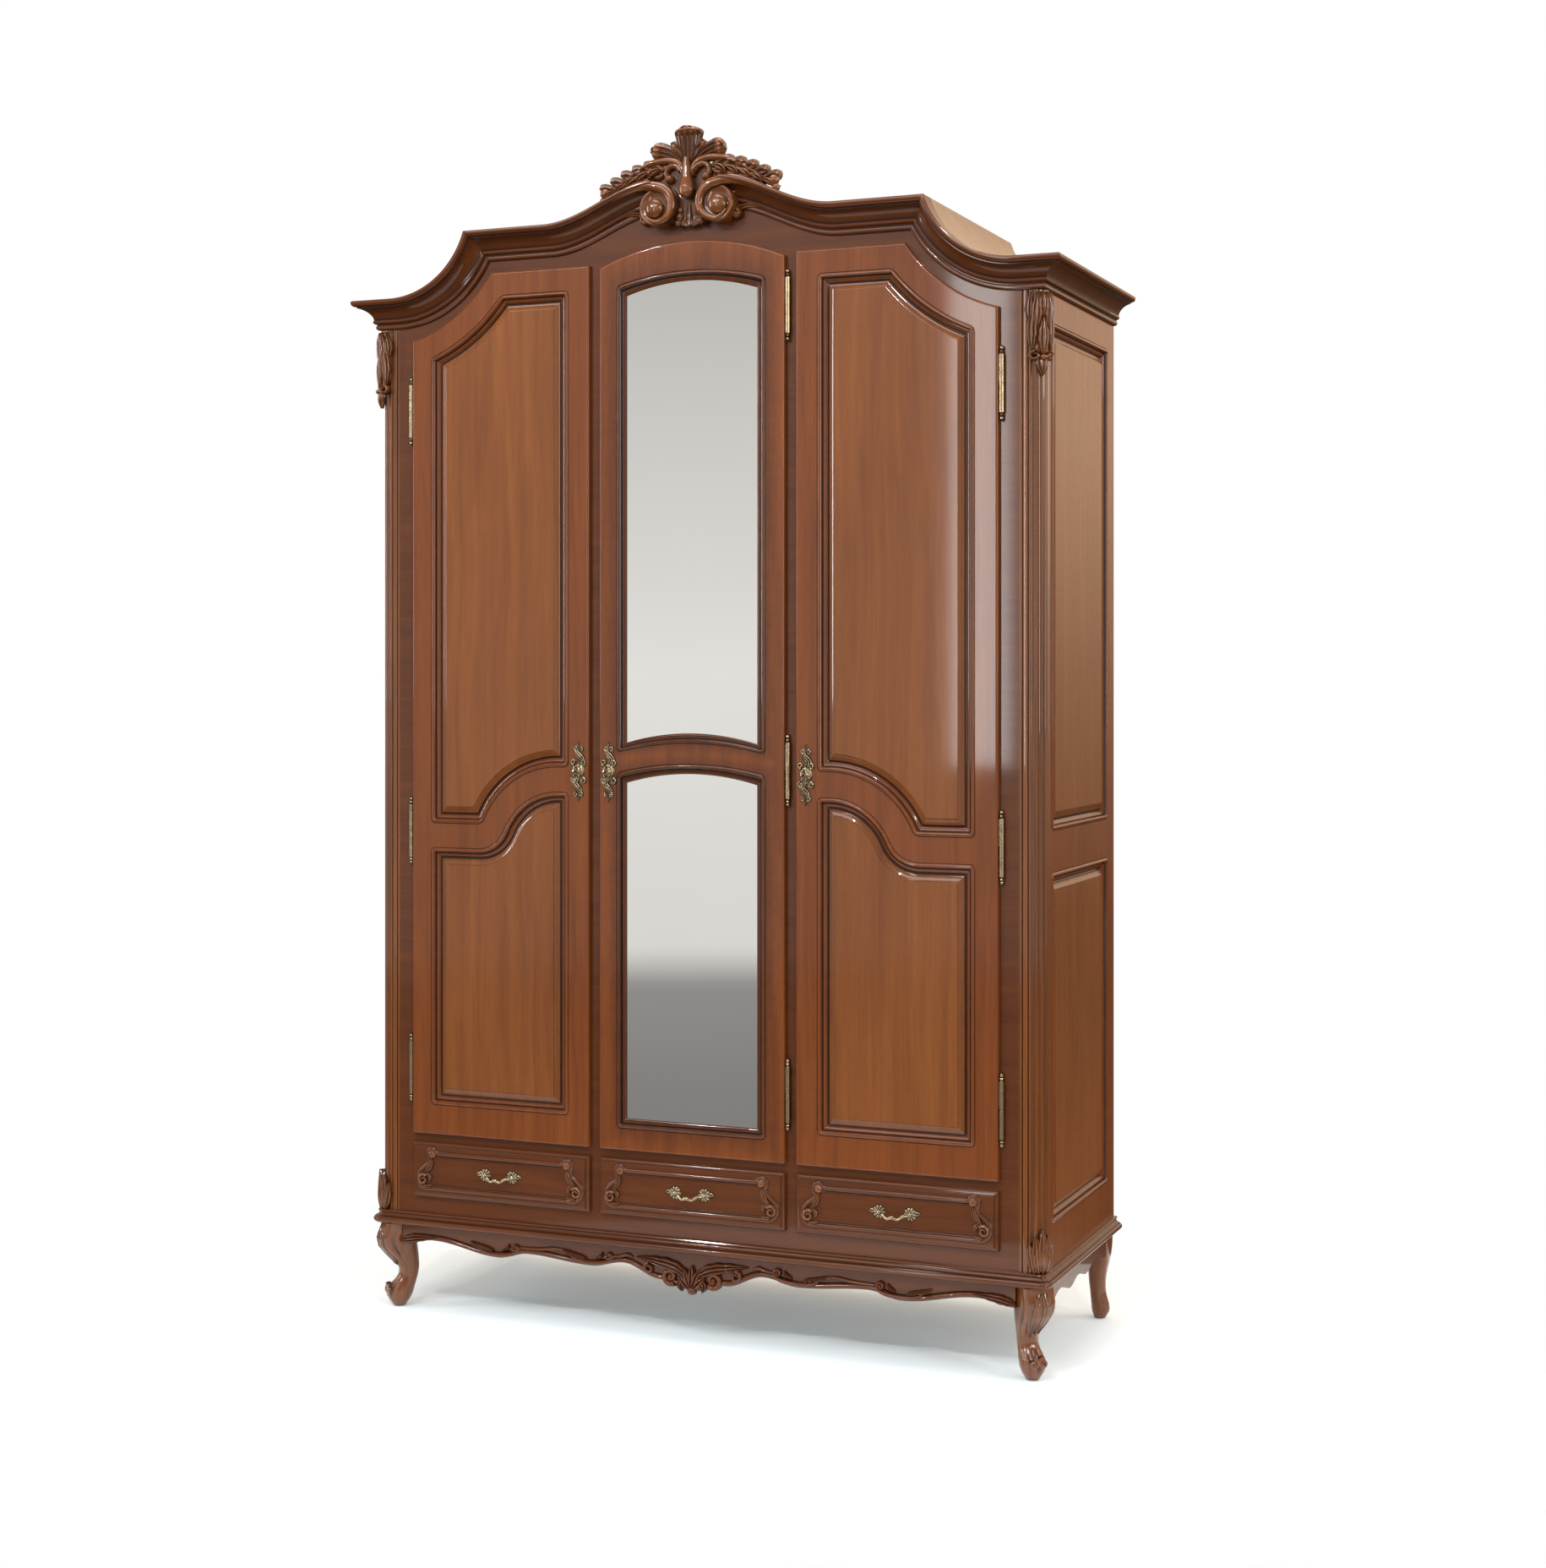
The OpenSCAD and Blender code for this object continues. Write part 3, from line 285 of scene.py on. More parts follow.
def skin(rings, glaze=0.0):
    """Closed surface through rings of points, its first and last ring closed by flat caps."""
    rows, cols = rings.shape[:2]
    shade = np.broadcast_to(np.asarray(glaze, float), (rows, cols)).ravel()
    caps = [list(range(cols)), list(range((rows - 1) * cols, rows * cols))[::-1]]
    return outward(rings.reshape(-1, 3), quads_of(rows, cols), caps, shade)


def weld(shells):
    """One shell of several that share edges: points in the same place become one."""
    points, quads, caps, glaze = gather(shells)
    _, first, same = np.unique(np.round(points / 2e-6).astype(int), axis=0, return_index=True,
                               return_inverse=True)
    same = same.ravel()
    return outward(points[first], same[quads], [[int(same[k]) for k in c] for c in caps], glaze[first])


def gather(shells):
    """All shells' points, quads, caps and painted recess shade in one set."""
    points, quads, caps, glaze, start = [], [], [], [], 0
    for p, q, c, g in shells:
        points.append(p)
        quads.append(q + start)
        caps += [[k + start for k in cap] for cap in c]
        glaze.append(g)
        start += len(p)
    return np.concatenate(points), np.concatenate(quads), caps, np.concatenate(glaze)


def mirrored(shells):
    """The shells on the other side of the middle plane."""
    return [outward(p * [-1, 1, 1], q, c, g) for p, q, c, g in shells]


def both_sides(shells):
    """The shells and their mirror images."""
    return list(shells) + mirrored(shells)


def make_piece(name, shells, finish, body, nodes=(), crease=32):
    """Mesh object of the shells, with its finish, on its body and in place of its nodes."""
    points, quads, caps, glaze = gather(shells)
    mesh = bpy.data.meshes.new(name)
    mesh.from_pydata(points.tolist(), [], quads.tolist() + caps)
    # The glaze attribute is painted shade: near 1 in the recesses, 0 on the open faces
    mesh.attributes.new("glaze", "FLOAT", "POINT").data.foreach_set("value", np.clip(glaze, 0, 1))
    mesh.shade_smooth()
    mesh.set_sharp_from_angle(angle=math.radians(crease))
    mesh.materials.append(bpy.data.materials[finish])
    piece = bpy.data.objects.new(name, mesh)
    bpy.context.scene.collection.objects.link(piece)
    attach(piece, body)
    if nodes:
        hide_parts(*nodes)


def front(outline, depth, y=FACE_Y):
    """Points (x, z) put at a depth behind a front plane."""
    return np.stack([outline[..., 0], np.full(outline.shape[:-1], y + depth), outline[..., 1]], -1)


# ---- framed openings and fielded panels ----

SHARP_CUT = 0.004
LEAST_CUT = 0.0006


def twin_frame(halves, edge, profile, radius, place):
    """A frame with two openings, as two grids that meet along the middle of the rail between them.

    Each half gives its outer and opening lines as functions of the set-in, the points on each line, which
    lines are the seam and which corners are round. Rows go over the outer edge, then over the moulding and
    down inside to the back. The seam's edge faces are left out, and the two halves are joined there.
    """
    shells = []
    for outer, opening, counts, seam, rounded in halves:
        sharp = [False] * len(counts)
        rows = [place(closed_loop(outer(g), counts, SHARP_CUT, sharp), d) for g, d in edge]
        rows += [place(closed_loop(opening(g), counts, max(radius - g, LEAST_CUT), rounded), d)
                 for g, d, _ in profile]
        shade = np.array([0.0] * len(edge) + [s for _, _, s in profile])
        owner = np.repeat(np.arange(len(counts)), np.array(counts) + CORNER_POINTS)
        owner = np.roll(owner, -(CORNER_POINTS + 1) // 2)
        keep = np.ones((len(rows), len(owner)), bool)
        keep[:len(edge) - 1, np.isin(owner, seam)] = False
        points = np.stack(rows)
        quads = quads_of(len(rows), len(owner), True, keep)
        shells.append((points.reshape(-1, 3), quads, [], np.repeat(shade, len(owner))))
    return weld(shells)


def fielded(opening, counts, rounded, rings, radius, place):
    """A panel: rings of the opening's line, set in and sunk, closed by its flat back and its flat field."""
    rows = [place(closed_loop(opening(g), counts, max(radius - g, LEAST_CUT), rounded), d)
            for g, d, _ in rings]
    shade = np.repeat([[s] for _, _, s in rings], len(rows[0]), axis=1)
    return skin(np.stack(rows), shade)


# Set-in, depth and painted recess shade over a door's outer edge and over the moulding of its openings
THUMB = [(0.0, 0.0032), (0.0007, 0.0016), (0.0020, 0.0005), (0.0036, 0.0), (0.0046, 0.0)]
ROLL = [(0.0, 0.0, 0.0), (0.0004, 0.0012, 0.9), (0.0010, 0.0012, 0.9), (0.0013, 0.0, 0.2),
        (0.0024, -0.0015, 0.1),
        (0.0044, -0.0025, 0.0), (0.0066, -0.0024, 0.15), (0.0086, -0.0010, 0.3), (0.0099, 0.0014, 0.4),
        (0.0104, 0.0036, 0.5), (0.0107, 0.0056, 1.0), (0.0119, 0.0056, 1.0), (0.0123, 0.0044, 0.5)]
COVE = [(0.0136, 0.0048, 0.1), (0.0158, 0.0058, 0.15), (0.0180, 0.0074, 0.3), (0.0200, 0.0094, 0.6),
        (0.0208, 0.0104, 0.9), (0.0220, 0.0104, 0.9)]
COVE_W = 0.0220         # width of roll and cove together
PANEL_IN = 0.0205       # set-in of a panel's edge, and the depth of its front there
PANEL_FRONT = 0.0106
SIDE_PANEL_BACK = 0.0175        # depth of a side panel's back
FIELD = [(0.0232, 0.0098, 0.9), (0.0236, 0.0078, 0.4), (0.0256, 0.0076, 0.1), (0.0290, 0.0066, 0.1),
         (0.0325, 0.0048, 0.0), (0.0352, 0.0036, 0.1), (0.0360, 0.0036, 0.5), (0.0364, 0.0026, 0.0)]


def outer_door_lines(doors):
    """Lines of the right outer door: its outline and its two openings, each set in by g."""
    x0, x1, z0, z1 = DOOR_LO.x, DOOR_HI.x, DOOR_LO.z, DOOR_HI.z
    side_z = z1 - doors.shoulder
    centre = (x1 + doors.sweep_out, side_z + math.sqrt(doors.sweep_r ** 2 - doors.sweep_out ** 2))
    bow = (x0 + doors.bow_in, doors.rail_z - doors.bow_drop)
    across = math.sqrt((doors.bow_r + doors.hollow_r) ** 2 - (doors.bow_drop + doors.hollow_r) ** 2)
    hollow = (bow[0] + across, doors.rail_z + doors.hollow_r)
    turn = math.atan2(hollow[1] - bow[1], across)

    def rail(e, left, right):
        """The mid rail's line at a height e over its middle: bow and hollow, then the flat."""
        r1, r2, flat = doors.bow_r + e, doors.hollow_r - e, doors.rail_z + e
        if r2 > LEAST_CUT:
            curve = np.concatenate([arc(bow, r1, np.pi / 2, turn, 40),
                                    arc(hollow, r2, np.pi + turn, 1.5 * np.pi)])
        else:
            curve = arc(bow, r1, np.pi / 2, math.asin((flat - bow[1]) / r1), 60)
        start = line((left, bow[1] + r1)) if left < bow[0] else curve[:0]
        curve = np.concatenate([start, curve[curve[:, 0] > left + 1e-6]])
        if left >= bow[0]:
            curve[0] = (left, bow[1] + math.sqrt(r1 ** 2 - (left - bow[0]) ** 2))
        return curve, line(curve[-1], (right, flat))

    def upper(g, e, left, right, top):
        r = doors.sweep_r + g
        low = 1.5 * np.pi - math.asin((centre[0] - right) / r)
        high = np.pi + math.asin((centre[1] - top) / r)
        sweep = arc(centre, r, low, high, 60)
        curve, flat = rail(e, left, right)
        return [curve, flat, line(flat[-1], sweep[0]), sweep, line(sweep[-1], (left, top)),
                line((left, top), curve[0])]

    def lower(e, left, right, bottom):
        curve, flat = rail(e, left, right)
        return [line((left, bottom), (right, bottom)), line((right, bottom), flat[-1]), flat[::-1],
                curve[::-1], line(curve[0], (left, bottom))]

    m, half = doors.margin, doors.rail_w / 2
    return [
        (lambda g: upper(g, 0.0, x0 + g, x1 - g, z1 - g),
         lambda g: upper(g + m + doors.head, half + g, x0 + m + g, x1 - m - g, z1 - m - doors.head - g),
         (56, 14, 10, 30, 8, 10), (0, 1), (False, True, True, True, True, True)),
        (lambda g: lower(0.0, x0 + g, x1 - g, z0 + g),
         lambda g: lower(-half - g, x0 + m + g, x1 - m - g, z0 + doors.foot + m + g),
         (8, 8, 14, 56, 8), (2, 3), (True, True, False, True, True)),
    ]


def leaf_edge(lip, back):
    """Set-in and depth over the edge of a door: back, lip and thumb moulding."""
    return [(lip, back), (lip, LAP), (0.0, LAP)] + THUMB


def panelled(halves, edge, back, panel_back, radius, place):
    """A twin frame with its roll and cove, and the two fielded panels that stand in its openings."""
    frame_shell = twin_frame(halves, edge, ROLL + COVE + [(COVE_W, back, 0.0)], radius, place)
    rings = [(PANEL_IN, panel_back, 0.0), (PANEL_IN, PANEL_FRONT, 1.0)] + FIELD
    panels = [fielded(opening, counts, rounded, rings, radius, place)
              for _, opening, counts, _, rounded in halves]
    return frame_shell, panels


def outer_door(side):
    """Frame and panels of one outer door."""
    doors = bpy.context.scene.armoire_doors
    back = DOOR_HI.y - DOOR_LO.y
    frame_shell, panels = panelled(outer_door_lines(doors), leaf_edge(doors.lip, back), back,
                                   PANEL_BACK_Y - FACE_Y, doors.corner_r, front)
    if side == "left":
        frame_shell, = mirrored([frame_shell])
        panels = mirrored(panels)
    make_piece(side + "_door_moulded_frame", [frame_shell], "lacquered walnut", side + "_door",
               [side + "_door_frame"])
    make_piece(side + "_door_fielded_panels", panels, "panel walnut", side + "_door",
               [side + "_door_panels"])


def bowed(x, z, bow, count=30):
    """A bowed line from -x to x whose ends are at z and whose middle is higher by the bow."""
    if bow <= 0:
        return line((-x, z), (x, z))
    r = (x * x + bow * bow) / (2 * bow)
    half = math.asin(x / r)
    return arc((0, z + bow - r), r, np.pi / 2 + half, np.pi / 2 - half, count)


def centre_door():
    """Frame of the centre door with a moulding round each mirror."""
    centre = bpy.context.scene.armoire_centre
    doors = bpy.context.scene.armoire_doors
    x1, z0, z1 = CENTRE_HI.x, CENTRE_LO.z, CENTRE_HI.z
    rail_z = (centre.lower_top + centre.upper_z) / 2
    arch_z = z1 - centre.arc_r

    def upper(x, foot, top):
        return [foot, line((x, foot[-1][1]), top[-1]), top[::-1], line(top[0], foot[0])]

    def lower(x, bottom, top):
        return [line((-x, bottom), (x, bottom)), line((x, bottom), top[-1]), top[::-1],
                line(top[0], (-x, bottom))]

    def head(g):
        r, x = centre.arc_r - g, x1 - g
        half = math.asin(x / r)
        return arc((0, arch_z), r, np.pi / 2 + half, np.pi / 2 - half, 40)

    def glass(x, z, bow, g):
        return bowed(x, z + g, bow)

    w, x = centre.bead_w, centre.glass_x
    halves = [
        (lambda g: upper(x1 - g, bowed(x1 - g, rail_z, centre.bow), head(g)),
         lambda g: upper(x + w - g, glass(x + w - g, centre.upper_z - w, centre.bow, g),
                         glass(x + w - g, centre.upper_top - centre.head_bow + w, centre.head_bow, -g)),
         (30, 12, 30, 12), (0,), (True,) * 4),
        (lambda g: lower(x1 - g, z0 + g, bowed(x1 - g, rail_z, centre.bow)),
         lambda g: lower(x + w - g, centre.lower_z - w + g,
                         glass(x + w - g, centre.lower_top + w, centre.bow, -g)),
         (10, 10, 30, 10), (2,), (True,) * 4),
    ]
    back = CENTRE_HI.y - CENTRE_LO.y
    sunk = GLASS_LO.y - FACE_Y - 0.0001
    bead = [(0.0136, 0.0046, 0.1), (0.0160, 0.0052, 0.2), (0.0176, 0.0040, 0.0), (0.0198, 0.0048, 0.1),
            (w, 0.0062, 0.6), (w, sunk, 1.0)]
    # The moulding round a mirror gets more painted shade than the panels' does, standing for its deep
    # shadowed hollow
    moulding = [(inward, deep, min(1.0, shade + 0.35)) for inward, deep, shade in ROLL + bead]
    # The rebate behind the bead holds the mirror, so the rows step back out before they reach the back
    rebate = w - 0.008
    moulding += [(rebate, sunk, 0.5), (rebate, back, 0.0)]
    frame_shell = twin_frame(halves, leaf_edge(doors.lip, back), moulding, doors.corner_r, front)
    make_piece("centre_door_moulded_frame", [frame_shell], "lacquered walnut", "centre_door",
               ["centre_door_frame"])


def side_frames():
    """Frames and fielded panels of both sides."""
    doors = bpy.context.scene.armoire_doors
    lo, hi = SIDE_LO, SIDE_HI
    bite = 0.010        # depth of the groove that holds a panel's edge
    y0, y1 = SIDE_PANEL_LO.y + bite, SIDE_PANEL_HI.y - bite
    low, high = SIDE_PANEL_LO.z + bite, SIDE_PANEL_HI.z - bite
    rail_foot, rail_head = doors.rail_z - 0.042, doors.rail_z + 0.037
    seam_z = (rail_foot + rail_head) / 2
    counts, rounded = (6,) * 4, (True,) * 4
    halves = [
        (lambda g: box_lines(lo.y + g, hi.y - g, seam_z, hi.z - g),
         lambda g: box_lines(y0 + g, y1 - g, rail_head + g, high - g), counts, (0,), rounded),
        (lambda g: box_lines(lo.y + g, hi.y - g, lo.z + g, seam_z),
         lambda g: box_lines(y0 + g, y1 - g, low + g, rail_foot - g), counts, (2,), rounded),
    ]

    def place(outline, depth):
        return np.stack([np.full(len(outline), BODY_X - depth), outline[:, 0], outline[:, 1]], -1)

    frame_shell, panels = panelled(halves, [(0.0, SIDE_T), (0.0, 0.0)], SIDE_T, SIDE_PANEL_BACK,
                                   doors.corner_r, place)
    make_piece("side_moulded_frames", both_sides([frame_shell]), "lacquered walnut", "carcass",
               ["side_frames"])
    make_piece("side_fielded_panels", both_sides(panels), "panel walnut", "carcass", ["side_panels"])


# ---- cornice, waist, posts ----

# Reach and height, as shares of the cornice's, and painted recess shade, from the lower edge to the top
CROWN = [(0.02, 0.0, 0.3), (0.10, 0.01, 0.0), (0.155, 0.05, 0.0), (0.17, 0.10, 0.0), (0.155, 0.15, 0.1),
         (0.13, 0.175, 0.9), (0.13, 0.20, 0.9), (0.20, 0.215, 0.1), (0.255, 0.25, 0.0), (0.27, 0.29, 0.0),
         (0.255, 0.33, 0.1), (0.225, 0.35, 0.9), (0.235, 0.38, 0.8), (0.26, 0.44, 0.3), (0.30, 0.50, 0.1),
         (0.36, 0.565, 0.0), (0.44, 0.625, 0.0), (0.54, 0.68, 0.0), (0.65, 0.72, 0.0), (0.76, 0.745, 0.1),
         (0.79, 0.75, 0.8), (0.79, 0.78, 0.9), (0.84, 0.79, 0.2), (0.90, 0.80, 0.0), (0.955, 0.83, 0.0),
         (0.99, 0.88, 0.0), (1.0, 0.93, 0.0), (0.985, 0.975, 0.0), (0.94, 1.0, 0.0)]


def arch(ax, crown):
    """Rise of the centre arch at a distance from the middle: level, then half a cosine wave down."""
    t = np.clip((ax - crown.arch_flat) / (crown.arch_half - crown.arch_flat), 0, 1)
    return crown.arch_rise * (0.5 + 0.5 * np.cos(np.pi * t))


def crown_path(crown, reach, height):
    """Right half of the crown line: arch, shoulder and sweep in front, then the return along the side."""
    centre = (BODY_X - crown.sweep_in, crown.eaves + crown.sweep_r)
    r = crown.sweep_r - height
    rise = crown.sweep_r - crown.shoulder - height
    shoulder_x = centre[0] - math.sqrt(r * r - rise * rise)
    x = np.linspace(crown.gap, shoulder_x, 64)
    top = np.stack([x, crown.eaves + crown.shoulder + height + arch(x, crown)], -1)
    sweep = arc(centre, r, np.pi + math.asin(rise / r), 1.5 * np.pi, 28)[1:]
    corner = line((BODY_X + reach, crown.eaves + height))
    flat = np.concatenate([top, sweep, corner])
    path = front(flat, -reach, FRONT_Y)
    back = path[-1] * [1, 0, 1] + [0, BACK_Y, 0]
    return np.concatenate([path, [back]])


def cornice():
    """The cornice: its profile carried along the crown line and round the sides."""
    crown = bpy.context.scene.armoire_cornice
    profile = CROWN + [(0.0, 1.0, 0.0), (0.0, 0.0, 0.0)]
    rings = np.stack([crown_path(crown, r * crown.reach, h * crown.height) for r, h, _ in profile], 1)
    shade = np.broadcast_to(np.array([g for _, _, g in profile])[None, :], rings.shape[:2])
    make_piece("crown_moulding", both_sides([skin(rings, shade)]), "lacquered rail walnut", "carcass",
               ["cornice"])


# Reach and height, as shares of the waist moulding's, and painted recess shade, from the lower edge to the
# top
WAIST = [(0.30, 0.0, 0.4), (0.62, 0.02, 0.0), (0.86, 0.09, 0.0), (0.98, 0.20, 0.0), (1.0, 0.30, 0.0),
         (0.96, 0.40, 0.0), (0.84, 0.48, 0.1), (0.76, 0.50, 0.9), (0.74, 0.54, 0.9), (0.60, 0.57, 0.3),
         (0.44, 0.63, 0.1), (0.34, 0.71, 0.1), (0.30, 0.80, 0.3), (0.28, 0.83, 0.9), (0.40, 0.85, 0.1),
         (0.44, 0.92, 0.0), (0.38, 0.99, 0.0), (0.2, 1.0, 0.0)]


def waist_moulding():
    """The moulding over the aprons, carried round the front and both sides with rounded corners."""
    reach = WAIST_HI.x - BODY_X
    height = WAIST_HI.z - WAIST_LO.z
    inner = -0.060      # the band's inner edge, inside the body's face
    corner_r = 0.006
    profile = [(r * reach, WAIST_LO.z + h * height, g) for r, h, g in WAIST]
    profile += [(inner, WAIST_HI.z, 0.0), (inner, WAIST_LO.z, 0.0)]
    rings = []
    for r, z, _ in profile:
        bend = max(corner_r + r, LEAST_CUT)
        x, y = BODY_X + r - bend, FRONT_Y - r + bend
        plan = np.concatenate([line((-x - bend, BACK_Y)), arc((-x, y), bend, np.pi, 1.5 * np.pi, 10),
                               arc((x, y), bend, 1.5 * np.pi, 2 * np.pi, 10), line((x + bend, BACK_Y))])
        rings.append(np.concatenate([plan, np.full((len(plan), 1), z)], -1))
    rings = np.stack(rings, 1)
    shade = np.broadcast_to(np.array([g for _, _, g in profile])[None, :], rings.shape[:2])
    make_piece("waist_band", [skin(rings, shade)], "lacquered rail walnut", "carcass", ["waist_moulding"])


def corner_posts():
    """Rounded front posts: a section with beads and flutes, the normal pushed in, carried up the post."""
    width = POST_HI.x - FRAME_HI.x
    r = 0.022           # radius of the rounded corner
    flute_half, flute_deep = 0.0052, 0.0034
    bead_half, ditch_half = 0.0058, 0.0014
    x0, x1, y0, y1 = BODY_X - width, BODY_X, FRONT_Y, FRONT_Y + width
    outline = np.concatenate([line((x0, y0), (x1 - r, y0)), arc((x1 - r, y0 + r), r, -np.pi / 2, 0, 30)[1:],
                              line((x1, y1))])
    base = walk(outline, 0, 260)
    way = np.gradient(base, axis=0)
    normal = np.stack([way[:, 1], -way[:, 0]], -1) / np.linalg.norm(way, axis=1)[:, None]
    total = np.linalg.norm(np.diff(outline, axis=0), axis=1).sum()
    s = np.linspace(0, total, len(base))
    push = np.zeros_like(s)
    # painted shade in the flutes and in the ditches beside the beads
    shade = np.zeros_like(s)
    for share in (0.33, 0.50, 0.67):
        inside = np.clip(1 - ((s - share * total) / flute_half) ** 2, 0, 1)
        push -= flute_deep * np.sqrt(inside)
        shade += 0.35 * inside
    for share in (0.14, 0.86):
        near = np.abs(s - share * total)
        roll = np.sqrt(np.clip(1 - (near / bead_half) ** 2, 0, 1))
        ditch = np.clip(1 - np.abs(near - bead_half) / ditch_half, 0, 1)
        push += 0.0006 * roll * (near < bead_half) - 0.0024 * ditch
        shade += ditch
    section = base + normal * push[:, None]
    section = np.concatenate([section, line((x1 - SIDE_T, y1), (x0, y1))])
    shade = np.concatenate([shade, [0, 0]])
    rings = [np.concatenate([section, np.full((len(section), 1), z)], -1)
             for z in (POST_LO.z, POST_HI.z)]
    make_piece("fluted_posts", both_sides([skin(np.stack(rings), np.stack([shade, shade]))]),
               "carved walnut", "carcass", ["corner_posts"])


# ---- drawers ----


def field_line():
    """Closed line round a drawer's field, right half first: a knob above, a swelling scroll below."""
    half = spline(FIELD_END, 90)
    top = line((0.0, FIELD_END[0][1]), FIELD_END[0])
    foot = line(FIELD_END[-1], (0.0, FIELD_END[-1][1]))
    right = np.concatenate([walk(top, 0, 20)[:-1], half, walk(foot, 0, 20)[1:]])
    left = (right * [-1, 1])[::-1]
    return np.concatenate([right[:-1], left[:-1]])


# Right end of a drawer's field, about the field's middle
FIELD_END = [(0.146, 0.034), (0.152, 0.037), (0.158, 0.043), (0.166, 0.040), (0.168, 0.031), (0.164, 0.022),
             (0.168, 0.012), (0.179, 0.004), (0.189, -0.007), (0.192, -0.020), (0.186, -0.032),
             (0.174, -0.038), (0.160, -0.037), (0.152, -0.037)]
DRAWN_HALF = 0.208      # half width of the drawer front that these ends are drawn for
# Distance inwards from the line, height and painted recess shade of the raised border
BORDER = [(-0.0072, -0.002, 1.0), (-0.0068, 0.0004, 0.9), (-0.0058, 0.0018, 0.2), (-0.0040, 0.0034, 0.0),
          (-0.0018, 0.0042, 0.0), (0.0004, 0.0038, 0.0), (0.0022, 0.0024, 0.2), (0.0034, 0.0010, 0.9),
          (0.0040, 0.0022, 0.4), (0.0052, 0.0026, 0.1), (0.0062, 0.0016, 0.5), (0.0066, 0.0004, 1.0),
          (0.0070, -0.002, 1.0)]
# Set-in, depth and painted recess shade over a drawer front's thumbed edge
DRAWER_EDGE = [(0.0, 0.0062, 0.0), (0.0010, 0.0042, 0.0), (0.0030, 0.0026, 0.0), (0.0060, 0.0018, 0.0),
               (0.0074, 0.0016, 0.7), (0.0078, 0.0002, 0.3), (0.0084, 0.0, 0.0), (0.0100, 0.0, 0.0)]


def field_border():
    """The raised border: its section carried round the field's line, as a closed ring."""
    path = field_line()
    ahead = np.roll(path, -1, 0) - np.roll(path, 1, 0)
    normal = np.stack([ahead[:, 1], -ahead[:, 0]], -1) / (np.linalg.norm(ahead, axis=1)[:, None] + 1e-12)
    normal *= -np.sign(np.mean(np.sum(normal * path, 1)))
    border = np.stack([np.concatenate([path + normal * g, np.full((len(path), 1), h)], -1)
                       for g, h, _ in BORDER])
    shade = np.repeat([g for _, _, g in BORDER], len(path))
    return border.reshape(-1, 3), quads_of(len(BORDER), len(path), True), [], shade


def drawer_scrolls():
    """Carving at the right end of a drawer's field: a boss, a curl and three leaves."""
    ring = curl((0.1805, -0.020), 0.0115, 0.003, np.pi * 0.75, -1.35, 44)
    long_leaf = spline([(0.160, 0.026), (0.162, 0.012), (0.170, 0.000), (0.178, -0.008)], 26)
    foot_leaf = spline([(0.180, -0.032), (0.170, -0.034), (0.158, -0.030)], 20)
    inner_leaf = spline([(0.172, -0.004), (0.164, -0.014), (0.166, -0.024)], 20)
    return [boss((0.159, 0.034), 0.0085, 0.0080, dish=0.3),
            scroll(ring, tapered(0.0042, 0.0022, 44), tapered(0.0085, 0.0060, 44)),
            leaf(long_leaf, 0.0062, 0.0085, ribs=3, lobes=3, sharp=0.8),
            leaf(foot_leaf, 0.0048, 0.0075, ribs=2), leaf(inner_leaf, 0.0046, 0.0070, ribs=2)]


def drawer_fronts():
    """Drawer fronts with a thumbed edge, a raised border round the field, and carved scrolls at its ends."""
    border, ends = field_border(), drawer_scrolls()
    lip = bpy.context.scene.armoire_doors.lip
    for side in BAYS:
        lo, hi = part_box(side + "_drawer_front")
        x, z = (lo.x + hi.x) / 2, (lo.z + hi.z) / 2
        half_x, half_z = (hi.x - lo.x) / 2, (hi.z - lo.z) / 2
        rings = [(lip, hi.y - FACE_Y, 0.0), (lip, LAP, 0.0), (0.0, LAP, 0.0)] + DRAWER_EDGE
        rows = []
        for g, depth, _ in rings:
            sides = box_lines(g - half_x, half_x - g, g - half_z, half_z - g)
            rows.append(front(closed_loop(sides, (6, 4, 6, 4), SHARP_CUT, (False,) * 4) + [x, z], depth))
        slab = skin(np.stack(rows), np.repeat([[g] for _, _, g in rings], len(rows[0]), axis=1))
        wide = [half_x / DRAWN_HALF, 1, 1]
        raised = on_front(reshaped([border], lambda p: p * wide), x, z, FACE_Y)
        make_piece(side + "_drawer_moulded_front", [slab] + raised, "lacquered rail walnut",
                   side + "_drawer",
                   [side + "_drawer_front"])
        carved = both_sides(reshaped(ends, lambda p: p * wide))
        make_piece(side + "_drawer_carvings", on_front(carved, x, z, FACE_Y), "carved walnut",
                   side + "_drawer", crease=50)


# ---- carving: relief shells in (across, up, out), then laid on a front, a corner or the crest ----


# The reliefs below carry painted shade per point: dark at their foot, in their flutes and between petals
def strand_frame(path):
    """Unit normals of a flat path, to its left."""
    way = np.gradient(path, axis=0)
    way /= np.linalg.norm(way, axis=1)[:, None] + 1e-12
    return np.stack([-way[:, 1], way[:, 0]], -1)


def scroll(path, half, relief, base=-0.002, sides=14):
    """Rounded strand along a path: across is the half width times a cosine, out the relief times a sine."""
    n = len(path)
    half = np.broadcast_to(half, n)[:, None]
    relief = np.broadcast_to(relief, n)[:, None]
    turn = np.linspace(0, np.pi, sides)[None, :]
    across = np.cos(turn) * half
    out = np.sin(turn) * relief
    normal = strand_frame(path)
    top = np.concatenate([path[:, None, :] + normal[:, None, :] * across[..., None], out[..., None]], -1)
    foot = np.concatenate([path[:, None, :] + normal[:, None, :] * across[:, ::-1][:, ::sides - 1, None],
                           np.full((n, 2, 1), base)], -1)
    rings = np.concatenate([top, foot], 1)
    shade = np.concatenate([np.abs(np.cos(turn)) ** 6 * np.ones((n, 1)), np.ones((n, 2))], 1)
    return skin(rings, 0.8 * shade)


